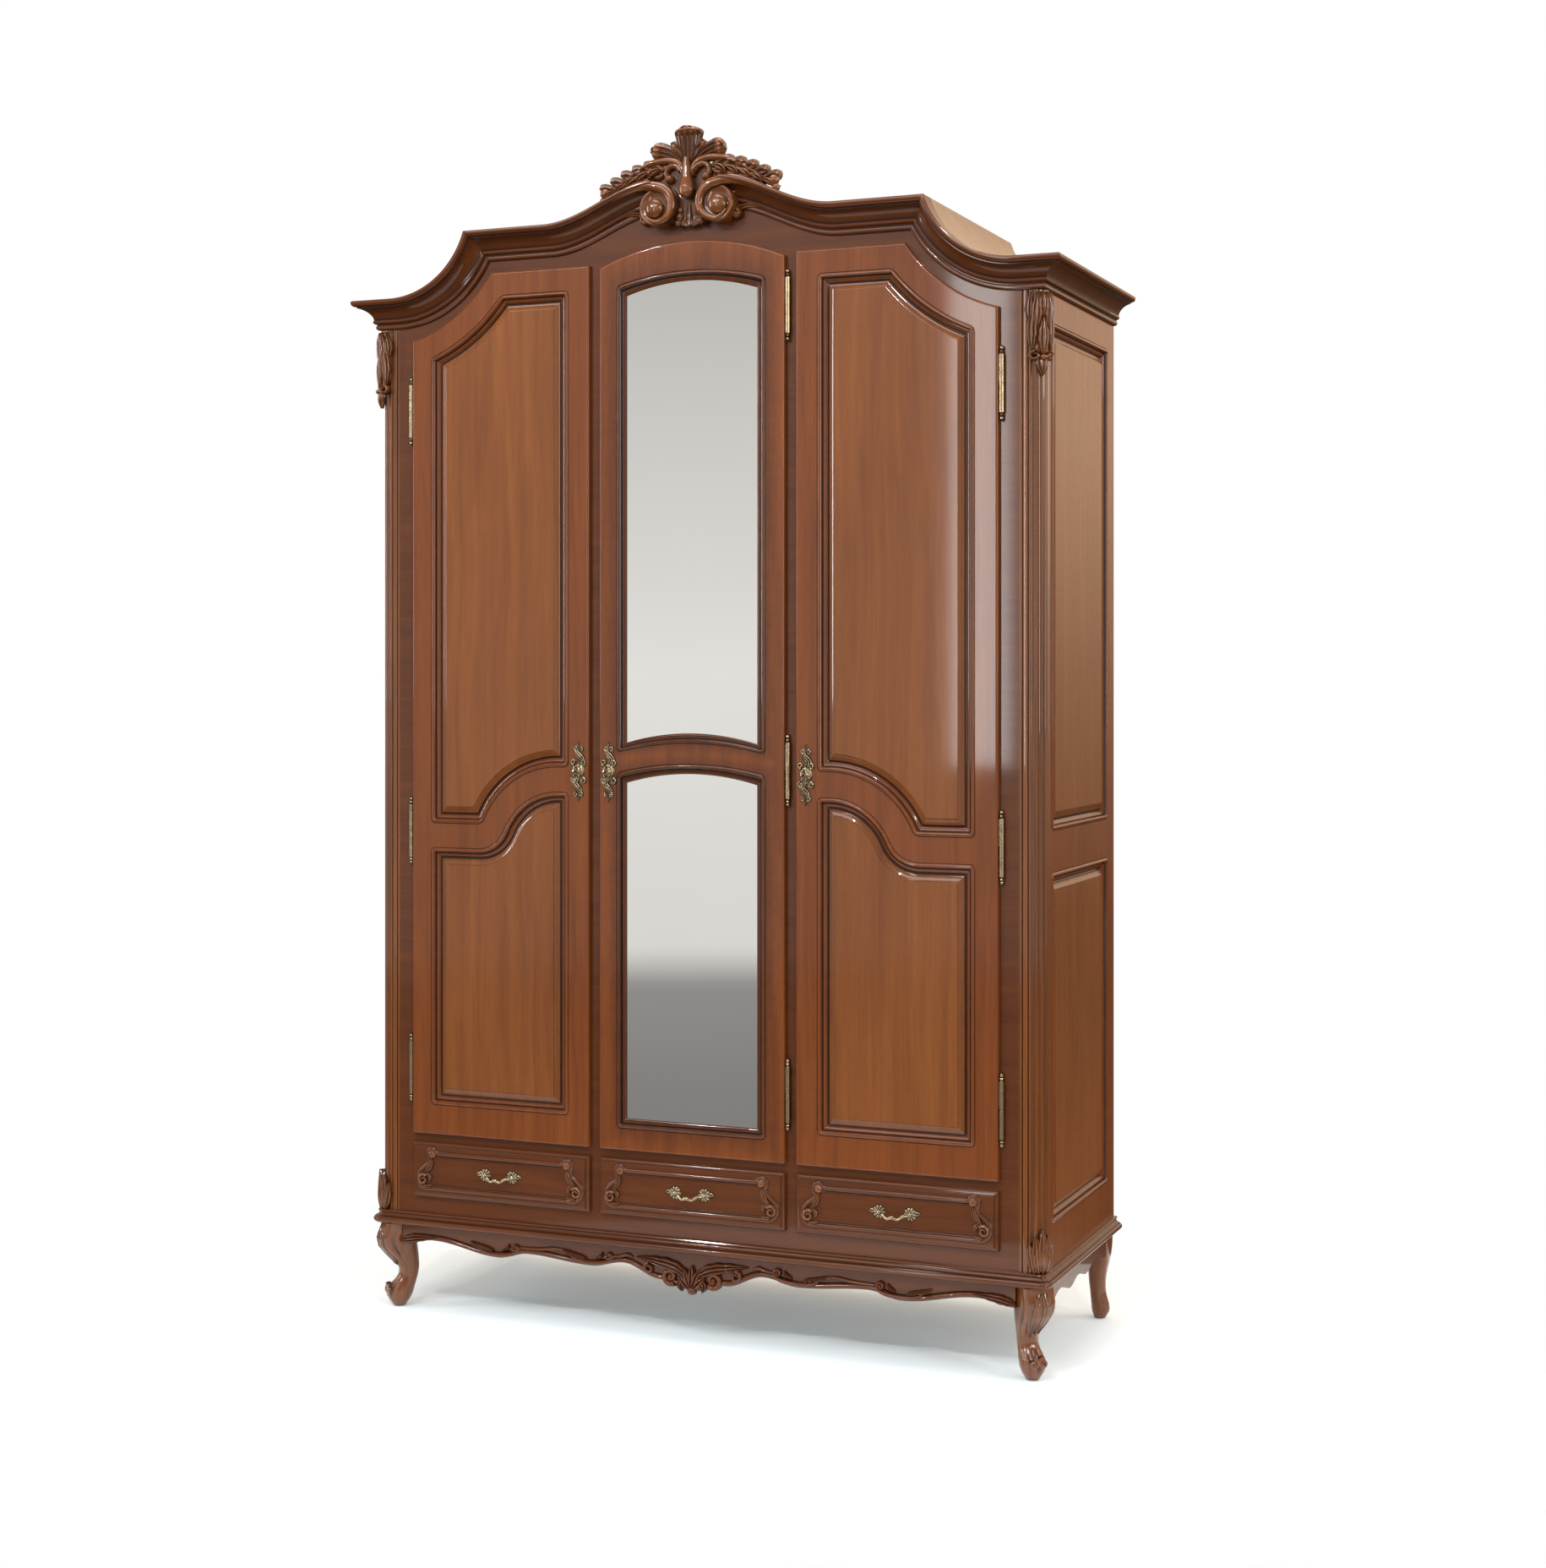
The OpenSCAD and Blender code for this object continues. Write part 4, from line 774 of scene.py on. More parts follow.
def leaf(path, width, relief, ribs=3, lobes=0, base=-0.002, droop=0.0, sharp=0.75):
    """Leaf along a path: its width swells as a sine, its edge is lobed, and its face is fluted by ribs.

    Across the leaf, s from -1 to 1, the face stands out by the relief times (1-s^2)^0.4 cut by rib-shaped
    flutes; along it the relief swells and the tip rolls forward by the droop.
    """
    n = len(path)
    t = np.linspace(0, 1, n)[:, None]
    s = np.linspace(-1, 1, 8 * ribs + 9)[None, :]
    swell = np.sin(np.pi * np.clip(t, 0.02, 0.985) ** sharp) ** 0.75
    edge = 1 + 0.16 * np.abs(np.sin(np.pi * lobes * t)) - 0.08 if lobes else 1.0
    half = width * swell * edge
    flute = np.abs(np.sin(0.5 * np.pi * ribs * (s + 1))) if ribs > 1 else np.ones_like(s)
    face = (1 - np.minimum(np.abs(s), 0.998) ** 2) ** 0.4 * (0.62 + 0.38 * flute)
    out = relief * face * (0.35 + 0.65 * np.sin(np.pi * np.clip(0.15 + 0.8 * t, 0, 1))) + droop * t ** 2
    normal = strand_frame(path)
    across = s * half
    front_face = np.concatenate([path[:, None, :] + normal[:, None, :] * across[..., None], out[..., None]],
                                -1)
    back_face = front_face[:, ::-1].copy()[:, [0, -1]]
    back_face[..., 2] = base + droop * np.repeat(t, 2, 1) ** 2 * 0.6
    shade = np.concatenate([(1 - flute) * np.ones_like(t) + 0.6 * np.abs(s) ** 8, np.ones((n, 2))], 1)
    return skin(np.concatenate([front_face, back_face], 1), 0.85 * shade)


def palm(path, w0, w1, relief, ribs, roll=0.0, base=-0.004):
    """Flared leaf: its width goes from w0 to w1 and rounds off, sharp ridges stand between hollow flutes.

    The face stands out by the relief times (1-s^2)^0.3 times a ridge term 1-|sin|^0.8, and near the end it
    rolls forward by a bell of height roll.
    """
    n = len(path)
    t = np.linspace(0, 1, n)[:, None]
    s = np.linspace(-1, 1, 10 * ribs + 1)[None, :]
    half = (w0 + (w1 - w0) * t) * np.sqrt(1 - np.clip((t - 0.80) / 0.20, 0, 0.97) ** 2)
    ridge = 1 - np.abs(np.sin(0.5 * np.pi * ribs * (s + 1))) ** 0.8
    side = (1 - np.minimum(np.abs(s), 0.998) ** 2)
    knob = np.exp(-((t - 0.90) / 0.08) ** 2)
    swell = side ** 0.3 * (0.55 + 0.45 * ridge * (1 - 0.8 * knob)) * (0.45 + 0.55 * t)
    out = relief * swell + roll * knob * side ** 0.5
    normal = strand_frame(path)
    face = np.concatenate([path[:, None, :] + normal[:, None, :] * (s * half)[..., None], out[..., None]],
                          -1)
    back_face = face[:, ::-1].copy()[:, [0, -1]]
    back_face[..., 2] = base
    shade = np.concatenate([(1 - ridge) * (1 - knob) * 0.8 + 0.5 * np.abs(s) ** 8, np.ones((n, 2))], 1)
    return skin(np.concatenate([face, back_face], 1), 0.85 * shade)


def grid(x, y, z):
    """Points of a grid whose coordinates may each vary along one way only."""
    return np.stack(np.broadcast_arrays(x, y, z), -1)


def drum(centre, radius, relief, base=-0.004):
    """Round block with a rolled edge and a slightly hollow face."""
    turn = np.linspace(0, 2 * np.pi, 49)[:-1][None, :]
    t = np.array([1.0, 1.0, 0.985, 0.95, 0.90, 0.84, 0.70, 0.40, 0.05])[:, None]
    out = np.array([base, relief * 0.80, relief * 0.91, relief * 0.98, relief, relief * 0.98, relief * 0.90,
                    relief * 0.88, relief * 0.88])[:, None]
    points = grid(centre[0] + radius * t * np.cos(turn), centre[1] + radius * t * np.sin(turn), out)
    return skin(points, np.clip(0.9 - t, 0, 0.6))


def boss(centre, radius, relief, petals=0, base=-0.002, stretch=1.0, dish=0.0):
    """Round boss: rings about a centre whose height is a quarter ellipse, its rim scalloped by petals."""
    turn = np.linspace(0, 2 * np.pi, 41)[:-1][None, :]
    t = np.array([1.0, 1.0, 0.97, 0.90, 0.80, 0.66, 0.5, 0.34, 0.18, 0.03])[:, None]
    wave = np.abs(np.cos(0.5 * petals * turn)) if petals else np.ones_like(turn)
    r = radius * t * (1 + (0.12 * (wave - 1) * t if petals else 0))
    out = relief * np.sqrt(1 - np.minimum(t, 0.999) ** 2) * (1 - dish * np.cos(np.pi * t / 2) ** 2)
    out = out * (1 - 0.35 * (1 - wave) * np.sin(np.pi * t))
    out = np.where(np.arange(len(t))[:, None] == 0, base, np.maximum(out, 0.0))
    points = grid(centre[0] + r * np.cos(turn), centre[1] + stretch * r * np.sin(turn), out)
    return skin(points, 0.8 * np.clip(1 - out / relief, 0, 1) ** 4 + 0.5 * (1 - wave))


def reshaped(shells, function):
    """The shells with their points moved by the function."""
    return [outward(function(p), q, c, g) for p, q, c, g in shells]


def on_front(shells, x=0.0, z=0.0, y=FRONT_Y):
    """Reliefs stood on a front plane with their own origin at (x, z)."""
    return reshaped(shells, lambda p: np.stack([x + p[:, 0], y - p[:, 2], z + p[:, 1]], -1))


def on_corner(shells, z, radius=0.0215, inset=0.018):
    """Reliefs wrapped round the right post's corner: across is an angle about the corner's axis."""
    def wrap(p):
        angle = -np.pi / 4 + p[:, 0] / radius
        r = radius + p[:, 2]
        return np.stack([BODY_X - inset + r * np.cos(angle), FRONT_Y + inset + r * np.sin(angle),
                         z + p[:, 1]], -1)
    return reshaped(shells, wrap)


def tapered(a, b, n, power=1.0):
    """Numbers going from a to b."""
    return a + (b - a) * np.linspace(0, 1, n) ** power


CREST_TOP = CREST_HI.z - 0.0008
BALL_H = 1.1            # height of a berry over its radius


def on_crest(reliefs, out):
    """Reliefs laid on the crest, at heights from its top, standing out from the front."""
    return on_front(reliefs, z=CREST_TOP, y=FRONT_Y - out)


def plume():
    """Three-lobed plume: a broad middle lobe, two side lobes and two between, rolled over at their ends."""
    middle = spline([(0, -0.086), (0, -0.056), (0, -0.026), (0, 0.0)], 44)
    shells = on_crest([palm(middle, 0.012, 0.035, 0.017, 5, roll=0.010)], 0.017)
    for s in (-1, 1):
        side = spline([(s * 0.002, -0.088), (s * 0.022, -0.066), (s * 0.048, -0.050), (s * 0.080, -0.044)],
                      40)
        between = spline([(s * 0.001, -0.084), (s * 0.014, -0.058), (s * 0.036, -0.030)], 30)
        shells += on_crest([palm(side, 0.007, 0.0225, 0.017, 4, roll=0.010)], 0.016)
        shells += on_crest([palm(between, 0.005, 0.0180, 0.014, 3, roll=0.002)], 0.014)
    return shells


def crest_arm(s):
    """Arm from the stem into a spray, and the hooked curl under it, ending in a ball."""
    arm = spline([(s * 0.006, -0.098), (s * 0.020, -0.074), (s * 0.048, -0.066), (s * 0.084, -0.070),
                  (s * 0.104, -0.080)], 44)
    half = np.interp(np.linspace(0, 1, 44), [0, 0.3, 0.8, 1], [0.009, 0.0085, 0.0075, 0.002])
    hook = curl((s * 0.034, -0.095), 0.021, 0.011, np.pi / 2 + s * 1.25, -s * 0.60, 44)
    return on_crest([scroll(arm, half, 0.014),
                     scroll(hook, tapered(0.0085, 0.0050, 44), tapered(0.014, 0.010, 44)),
                     boss(tuple(hook[-1]), 0.0100, 0.016)], 0.018)


def spray(s):
    """Leaf spray along the crown: a long lobed leaf, with blades over its upper edge and flicks below."""
    bed = spline([(s * 0.052, -0.080), (s * 0.098, -0.090), (s * 0.140, -0.108), (s * 0.190, -0.130)], 70)
    shells = on_crest([leaf(bed, 0.0215, 0.018, ribs=3, lobes=5, base=-0.020, sharp=0.4)], 0.013)
    for k, size in enumerate((1.0, 0.95, 0.9, 0.85, 0.8)):
        at = walk(bed, 0.004 + 0.0270 * k, 2)[0]
        blade = spline([at + [0, -0.006], at + [s * 0.014, 0.002], at + [s * 0.028, 0.0075 * size],
                        at + [s * 0.040, 0.004]], 26)
        flick = spline([at + [s * 0.004, -0.002], at + [s * 0.020, -0.009], at + [s * 0.030, -0.021]], 20)
        out = 0.021 - 0.0015 * k
        shells += on_crest([palm(blade, 0.0060, 0.0135 * size, 0.014, 2, roll=0.004, base=-0.012)], out)
        shells += on_crest([leaf(flick, 0.0085 * size, 0.015, ribs=2, droop=0.002, sharp=0.9)], out + 0.002)
    return shells + on_crest([boss((s * 0.186, -0.122), 0.0110, 0.012),
                              boss((s * 0.190, -0.137), 0.0080, 0.010)], 0.020)


def volute(s):
    """The cornice's top roll bent down and round an eye on a drum, with a curl and a leaf beside it."""
    crown = bpy.context.scene.armoire_cornice
    eye = (s * 0.066, -0.160)
    x = np.linspace(0.260, 0.100, 40)
    crown_z = crown.eaves + crown.shoulder + 0.90 * crown.height + arch(x, crown)
    lead = np.stack([s * x, crown_z - CREST_TOP], -1)
    turn = curl(eye, 0.041, 0.0260, np.pi / 2, s * 0.66, 80)
    bend = spline([lead[-2], lead[-1], (s * 0.082, -0.1160), turn[0], turn[1]], 30)[8:-8]
    path = np.concatenate([lead[:-1], bend, turn[1:]])
    half = np.concatenate([tapered(0.0025, 0.0105, 39), np.full(14, 0.0108),
                           tapered(0.0110, 0.0030, 79, 1.6)])
    shells = on_crest([scroll(path, half, half * 1.05, base=-0.012)], 0.0345)
    shells += on_crest([drum(eye, 0.038, 0.036)], 0.0)
    shells += on_crest([boss((eye[0] + s * 0.003, eye[1] - 0.002), 0.0205, 0.0125)], 0.0338)
    low = curl((s * 0.100, -0.180), 0.009, 0.004, -s * 0.2 + np.pi / 2, -s * 0.9, 30)
    tail = spline([(s * 0.100, -0.172), (s * 0.124, -0.166), (s * 0.152, -0.170)], 26)
    shells += on_crest([scroll(low, tapered(0.0050, 0.0035, 30), 0.013),
                        boss((s * 0.100, -0.181), 0.0075, 0.014)], 0.006)
    return shells + on_crest([leaf(tail, 0.0062, 0.010, ribs=2)], 0.004)


def pendant():
    """Stem with its bulb, and under it a fluted husk with berries beside it."""
    stem = spline([(0, -0.064), (0, -0.090), (0.001, -0.120), (0.001, -0.146)], 44)
    half = np.interp(np.linspace(0, 1, 44), [0, 0.25, 0.5, 0.78, 0.93, 1],
                     [0.006, 0.009, 0.0115, 0.018, 0.014, 0.003])
    husk = spline([(0.0, -0.150), (0.0, -0.172), (0.001, -0.200)], 30)
    berries = ((0.020, -0.170, 0.0085), (0.031, -0.178, 0.0080), (0.026, -0.190, 0.0075),
               (0.036, -0.160, 0.0080),
               (-0.020, -0.180, 0.0085), (-0.019, -0.168, 0.0070), (-0.024, -0.192, 0.0070))
    shells = on_crest([scroll(stem, half, np.minimum(half * 0.9, 0.0145), base=-0.020, sides=20)], 0.031)
    shells += on_crest([palm(husk, 0.010, 0.014, 0.016, 3)], 0.010)
    return shells + on_crest([boss((x, z), r, r * BALL_H) for x, z, r in berries], 0.016)


def crest():
    """Carved crest: a plume on a stem, curls, two volutes, leaf sprays and a pendant, on a flat ground."""
    shells = plume()
    for s in (-1, 1):
        shells += crest_arm(s) + spray(s) + volute(s)
    shells += pendant()
    ground = spline([(-0.075, -0.170), (-0.040, -0.188), (0.0, -0.200), (0.040, -0.188), (0.075, -0.170),
                     (0.100, -0.135), (0.100, -0.098), (0.060, -0.085), (0.020, -0.070), (-0.020, -0.070),
                     (-0.060, -0.085), (-0.100, -0.098), (-0.100, -0.135), (-0.075, -0.170)], 80)
    ground = ground[:-1] + [0, CREST_TOP]
    # the flat ground behind the carving gets an even painted shade
    shells.append(skin(np.stack([front(ground, d, FRONT_Y) for d in (0.0, -0.016)]), 0.35))
    make_piece("carved_crest", shells, "carved walnut", "carcass", ["crest"], crease=50)


def post_carvings():
    """Leafy capitals with a pointed drop round the posts' heads, and leaves at their feet."""
    top = CARVING_HI.z
    middle = spline([(0, -0.001), (0, -0.060), (0, -0.122)], 44)
    shells = on_corner([palm(middle, 0.025, 0.026, 0.008, 7, base=-0.010)], top)
    for turn, start, size, width in ((0.017, -0.030, 0.118, 0.0085), (-0.017, -0.030, 0.118, 0.0085),
                                     (0.0, -0.050, 0.126, 0.0095), (0.010, -0.004, 0.074, 0.0090),
                                     (-0.010, -0.004, 0.074, 0.0090), (0.022, -0.004, 0.060, 0.0070),
                                     (-0.022, -0.004, 0.060, 0.0070), (0.0, -0.004, 0.052, 0.0095)):
        path = spline([(turn * 0.8, start), (turn, (start - size) / 2), (turn, -size)], 30)
        shells += on_corner([leaf(path, width, 0.0135, ribs=3, lobes=4, base=-0.004, droop=0.003,
                                  sharp=1.2)], top)
    for s in (-1, 1):
        ring = curl((s * 0.0125, -0.127), 0.0085, 0.003, np.pi / 2, -s * 1.1, 26)
        shells += on_corner([scroll(ring, tapered(0.0040, 0.0022, 26), 0.013)], top)
    drop = spline([(0, -0.128), (0, -0.146), (0, -0.1655)], 26)
    shells += on_corner([leaf(drop, 0.0135, 0.011, ribs=4, sharp=0.6), boss((0, -0.130), 0.0065, 0.016)],
                        top)
    low = CARVING_LO.z
    for turn, size, width in ((0.019, 0.058, 0.0085), (-0.019, 0.058, 0.0085), (0.010, 0.074, 0.0095),
                              (-0.010, 0.074, 0.0095), (0.0, 0.084, 0.0105)):
        path = spline([(turn * 0.7, 0.0005), (turn * 0.9, size * 0.4), (turn * 1.15, size)], 26)
        shells += on_corner([leaf(path, width, 0.0105, ribs=3, lobes=4, base=-0.006, droop=0.003,
                                  sharp=1.0)], low)
    make_piece("post_leaves", both_sides(shells), "carved walnut", "carcass", ["post_carvings"], crease=50)


def apron():
    """Front apron: a board with a waved lower edge and a raised bead along it, carved at the lobes."""
    x1 = APRON_HI.x
    top = APRON_HI.z
    knots = [(0, 0.077), (0.072, 0.060), (0.155, 0.034), (0.229, 0.047), (0.557 * x1, 0.037),
             (0.66 * x1, 0.051),
             (0.89 * x1, 0.030), (x1, 0.042)]
    x = np.linspace(-x1, x1, 421)
    depth = half_waves(np.abs(x), knots)
    slope = np.gradient(depth, x)
    # the bead: height over the lower edge, stand and painted recess shade of its points
    below = np.array([0.024, 0.0132, 0.0122, 0.0112, 0.0096, 0.0078, 0.0058, 0.0040, 0.0022, 0.0008, 0.0])
    out = np.array([0.0, 0.0, -0.0014, 0.0, 0.0024, 0.0040, 0.0046, 0.0042, 0.0028, 0.0008, -0.0010])
    shade = np.array([0.0, 0.3, 1.0, 0.5, 0.0, 0.0, 0.0, 0.0, 0.1, 0.4, 0.6])
    stretch = np.sqrt(1 + slope ** 2)[:, None]
    z = np.concatenate([np.full((len(x), 1), top), top - depth[:, None] + below[None, :] * stretch,
                        top - depth[:, None], np.full((len(x), 1), top)], 1)
    z[:, 1] = np.minimum(z[:, 1], top - 0.001)
    z[:, 2:] = np.minimum(z[:, 2:], z[:, 1:2] - 1e-5 * np.arange(1, z.shape[1] - 1))
    z[:, -1] = top
    y = np.concatenate([[0.0], -out, [APRON_HI.y - FRONT_Y, APRON_HI.y - FRONT_Y]])
    rings = grid(x[:, None], FRONT_Y + y[None, :], z)
    shells = [skin(rings, np.broadcast_to(np.concatenate([[0.0], shade, [0.5, 0.0]]), z.shape))]
    shells += apron_carvings(top, x1)
    make_piece("carved_apron", shells, "lacquered rail walnut", "carcass", ["front_apron"], crease=40)


def cartouche():
    """Middle of the apron: two long leaves, curls and a shell of five petals."""
    shells = []
    for s in (-1, 1):
        arm = spline([(s * 0.010, -0.046), (s * 0.040, -0.030), (s * 0.080, -0.022), (s * 0.124, -0.017)],
                     40)
        near = curl((s * 0.048, -0.050), 0.016, 0.005, -np.pi / 2 - s * 0.6, s * 1.2, 40)
        far = curl((s * 0.096, -0.038), 0.011, 0.004, np.pi / 2, -s * 1.1, 34)
        side = spline([(s * 0.016, -0.050), (s * 0.026, -0.064), (s * 0.022, -0.078)], 20)
        shells += [leaf(arm, 0.0125, 0.013, ribs=3, lobes=5, sharp=0.7),
                   scroll(near, tapered(0.0065, 0.004, 40), tapered(0.012, 0.008, 40)),
                   boss((s * 0.048, -0.050), 0.0058, 0.010),
                   scroll(far, tapered(0.005, 0.003, 34), 0.009), leaf(side, 0.0085, 0.012, ribs=3)]
    root = np.array([0.0, -0.074])
    for turn in np.radians([-56, -30, 0, 30, 56]):
        way = np.array([math.sin(turn), math.cos(turn)])
        path = spline([root, root + way * [0.016, 0.024], root + way * [0.034, 0.050]], 24)
        shells.append(leaf(path, 0.0085, 0.015, ribs=2, droop=0.002, sharp=1.3))
    return shells + [boss(root, 0.010, 0.015)]


def lobe(s, x, deep):
    """Carving over a lobe of the apron: a C-scroll ending in a curl, four flicks and a rib."""
    c_line = spline([(s * (x - 0.046), -deep + 0.030), (s * (x - 0.050), -deep + 0.022),
                     (s * (x - 0.036), -deep + 0.012), (s * x, -deep + 0.0075),
                     (s * (x + 0.034), -deep + 0.012), (s * (x + 0.048), -deep + 0.023)], 60)
    half = np.interp(np.linspace(0, 1, 60), [0, 0.5, 1], [0.0030, 0.0052, 0.0030])
    eye = (s * (x - 0.042), -deep + 0.026)
    ring = curl(eye, 0.0072, 0.002, np.pi, -s * 1.2, 34)
    shells = [scroll(c_line, half, half * 1.9), scroll(ring, tapered(0.0040, 0.0024, 34), 0.0105),
              boss(eye, 0.0036, 0.0110)]
    for k in range(4):
        at = np.array([s * (x + 0.010 + 0.011 * k), -deep + 0.013 + 0.0022 * k])
        flick = spline([at, at + [s * 0.010, 0.004], at + [s * 0.020, 0.010]], 16)
        shells.append(leaf(flick, 0.0044, 0.0110, ribs=2, droop=0.002))
    rib = spline([(s * (x - 0.012), -deep + 0.016), (s * (x - 0.024), -deep + 0.024),
                  (s * (x - 0.028), -deep + 0.032)], 16)
    return shells + [leaf(rib, 0.0040, 0.0095, ribs=2)]


def apron_carvings(top, x1):
    """Cartouche at the middle, carvings at the lobes, and strands over the raised parts between them."""
    shells = cartouche()
    for x, deep in ((0.229, 0.047), (0.66 * x1, 0.051)):
        shells += lobe(-1, x, deep) + lobe(1, x, deep)
    for a, b, z_a, z_m, z_b in ((0.284, 0.392, -0.020, -0.0235, -0.022),
                                (0.132, 0.180, -0.020, -0.020, -0.020)):
        for s in (-1, 1):
            over = spline([(s * a, z_a), (s * (a + 0.25 * (b - a)), z_m + 0.0040),
                           (s * (a + 0.6 * (b - a)), z_m),
                           (s * b, z_b - 0.003)], 40)
            half = np.interp(np.linspace(0, 1, 40), [0, 0.4, 1], [0.002, 0.0046, 0.0030])
            shells.append(scroll(over, half, half * 1.7))
    for s in (-1, 1):
        end = spline([(s * (x1 - 0.002), -0.034), (s * (x1 - 0.040), -0.026), (s * (x1 - 0.085), -0.022)],
                     30)
        shells.append(leaf(end, 0.010, 0.011, ribs=3, lobes=4, sharp=0.6))
    return on_front(shells, z=top)


# Height, reach along the leg's heading, radius along the heading, radius across, and squareness
FRONT_LEG = [(0.182, 0.000, 0.0330, 0.0330, 5.0), (0.168, 0.001, 0.0345, 0.0330, 4.5),
             (0.150, 0.003, 0.0390, 0.0335, 3.2),
             (0.130, -0.001, 0.0385, 0.0320, 2.6), (0.112, -0.009, 0.0330, 0.0290, 2.3),
             (0.095, -0.017, 0.0265, 0.0245, 2.1), (0.080, -0.022, 0.0220, 0.0215, 2.0),
             (0.064, -0.020, 0.0215, 0.0210, 2.0), (0.050, -0.012, 0.0255, 0.0230, 2.0),
             (0.038, -0.004, 0.0300, 0.0250, 2.0), (0.026, -0.002, 0.0285, 0.0245, 2.0),
             (0.014, -0.002, 0.0225, 0.0205, 2.0), (0.006, -0.002, 0.0165, 0.0155, 2.0),
             (0.0, -0.002, 0.0125, 0.0125, 2.0)]
REAR_LEG = [(0.182, 0.000, 0.0270, 0.0270, 7.0), (0.150, 0.000, 0.0270, 0.0265, 5.0),
            (0.122, 0.001, 0.0235, 0.0225, 3.0),
            (0.100, 0.000, 0.0200, 0.0190, 2.4), (0.080, -0.001, 0.0180, 0.0170, 2.2),
            (0.060, 0.000, 0.0170, 0.0165, 2.0), (0.045, 0.002, 0.0175, 0.0170, 2.0),
            (0.030, 0.005, 0.0190, 0.0180, 2.0), (0.018, 0.006, 0.0190, 0.0170, 2.0),
            (0.007, 0.005, 0.0150, 0.0140, 2.0), (0.0, 0.004, 0.0115, 0.0115, 2.0)]


def bent_leg(stations, at, heading, ribs):
    """A leg: rings whose centre, radii and squareness go smoothly from station to station.

    A ring's point lies at (|cos|^p + |sin|^p)^(-1/p) times the radii; the ribs carve the knee and the toe.
    """
    shape = spline(stations, 90)
    z, reach, along, across, square = (shape[:, k][:, None] for k in range(5))
    turn = np.linspace(0, 2 * np.pi, 97)[:-1][None, :]
    c, s = np.cos(turn), np.sin(turn)
    grow = (np.abs(c) ** square + np.abs(s) ** square) ** (-1 / square)
    knee = np.exp(-((z - 0.128) / 0.030) ** 2) * np.clip(c, 0, 1) ** 0.6
    toe = np.exp(-((z - 0.038) / 0.018) ** 2) * np.clip(c, 0, 1)
    flute = np.abs(np.sin(ribs * turn / 2 + 6 * (z - 0.15) * np.sign(s)))
    carve = (1 - flute) ** 1.5 * (knee + 0.6 * toe)
    push = 0.004 * knee - 0.0085 * carve if ribs else 0.0
    u = reach + (along * grow + push) * c
    v = (across * grow + push) * s
    side = np.array([-heading[1], heading[0]])
    x = at[0] + u * heading[0] + v * side[0]
    y = at[1] + u * heading[1] + v * side[1]
    # painted shade in the carved flutes of the knee and the toe
    return skin(grid(x, y, np.clip(z, FLOOR_GAP, LEG_HI.z)), np.clip(1.6 * carve, 0, 1) if ribs else 0.0)


def legs():
    """Front legs turned out at the corners, with a leafy knee and a whorled toe, and plain rear legs."""
    corner = np.array([BODY_X - LEG_INSET, FRONT_Y + LEG_INSET])
    heading = np.array([math.sqrt(0.5), -math.sqrt(0.5)])
    heights = np.array([(z, reach + radius) for z, reach, radius, _, _ in FRONT_LEG[::-1]]).T
    toe_out = 0.0215

    def on_leg(p):
        """Across the heading, up, and out along the heading."""
        return np.stack([corner[0] + heading[0] * p[:, 2] - heading[1] * p[:, 0],
                         corner[1] + heading[1] * p[:, 2] + heading[0] * p[:, 0], p[:, 1]], -1)

    def on_knee(p):
        """Out from the leg's own face, which falls away to the sides as a parabola."""
        stand = np.interp(p[:, 1], *heights) - 0.55 * p[:, 0] ** 2 / 0.03
        return on_leg(np.stack([p[:, 0], p[:, 1], p[:, 2] + stand], -1))

    shells = [bent_leg(FRONT_LEG, corner, heading, 11)]
    for s in (-1, 1):
        ring = curl((s * 0.010, 0.036), 0.010, 0.003, np.pi / 2, s * 1.2, 30)
        shells += reshaped([scroll(ring, tapered(0.0042, 0.0025, 30), 0.005, base=-0.006)],
                           lambda p: on_leg(p + [0, 0, toe_out]))
    for turn, width in ((-0.017, 0.009), (0.017, 0.009), (0.0, 0.012)):
        path = spline([(turn * 0.6, 0.172), (turn, 0.145), (turn, 0.118), (turn * 0.5, 0.088)], 30)
        shells += reshaped([leaf(path, width, 0.007, ribs=3, lobes=4, base=-0.006, sharp=0.8)], on_knee)
    make_piece("cabriole_legs", both_sides(shells), "carved walnut", "carcass", ["front_legs"], crease=50)
    rear = bent_leg(REAR_LEG, (BODY_X - LEG_INSET, BACK_Y - LEG_INSET), (1.0, 0.0), 0)
    make_piece("rear_bent_legs", both_sides([rear]), "carved walnut", "carcass", ["rear_legs"], crease=50)


# ---- brassware ----


def turned(profile, centre, count=32):
    """Turned piece on an upright axis: the profile's (radius, height) points carried round it."""
    p = np.array(profile, float)
    turn = np.linspace(0, 2 * np.pi, count + 1)[:-1][None, :]
    r, h = p[:, :1], p[:, 1:2]
    points = grid(centre[0] + r * np.cos(turn), centre[1] + r * np.sin(turn), centre[2] + h)
    # painted shade: darker where the profile narrows
    return skin(points, np.clip(1 - r / (p[:, 0].max() * 0.75), 0, 1))


BARREL_R = 0.005
PIN_R = 0.0025
BARREL_HALF = 0.055     # from a hinge's middle to its finials
AXIS_OUT = 0.0058       # from a door's edge to its hinges' axis
AXIS_IN = 0.006         # from the doors' face back to the axis
# Share of the barrel's radius, and height, up a finial
FINIAL = [(1.00, 0.0), (1.0, 0.0006), (0.72, 0.0014), (0.52, 0.0026), (0.50, 0.0034), (0.74, 0.0042),
          (0.86, 0.0056), (0.74, 0.0070), (0.44, 0.0078), (0.40, 0.0088), (0.60, 0.0094), (0.74, 0.0112),
          (0.76, 0.0128), (0.60, 0.0148), (0.34, 0.0160), (0.28, 0.0164), (0.36, 0.0170), (0.34, 0.0176),
          (0.02, 0.0180)]


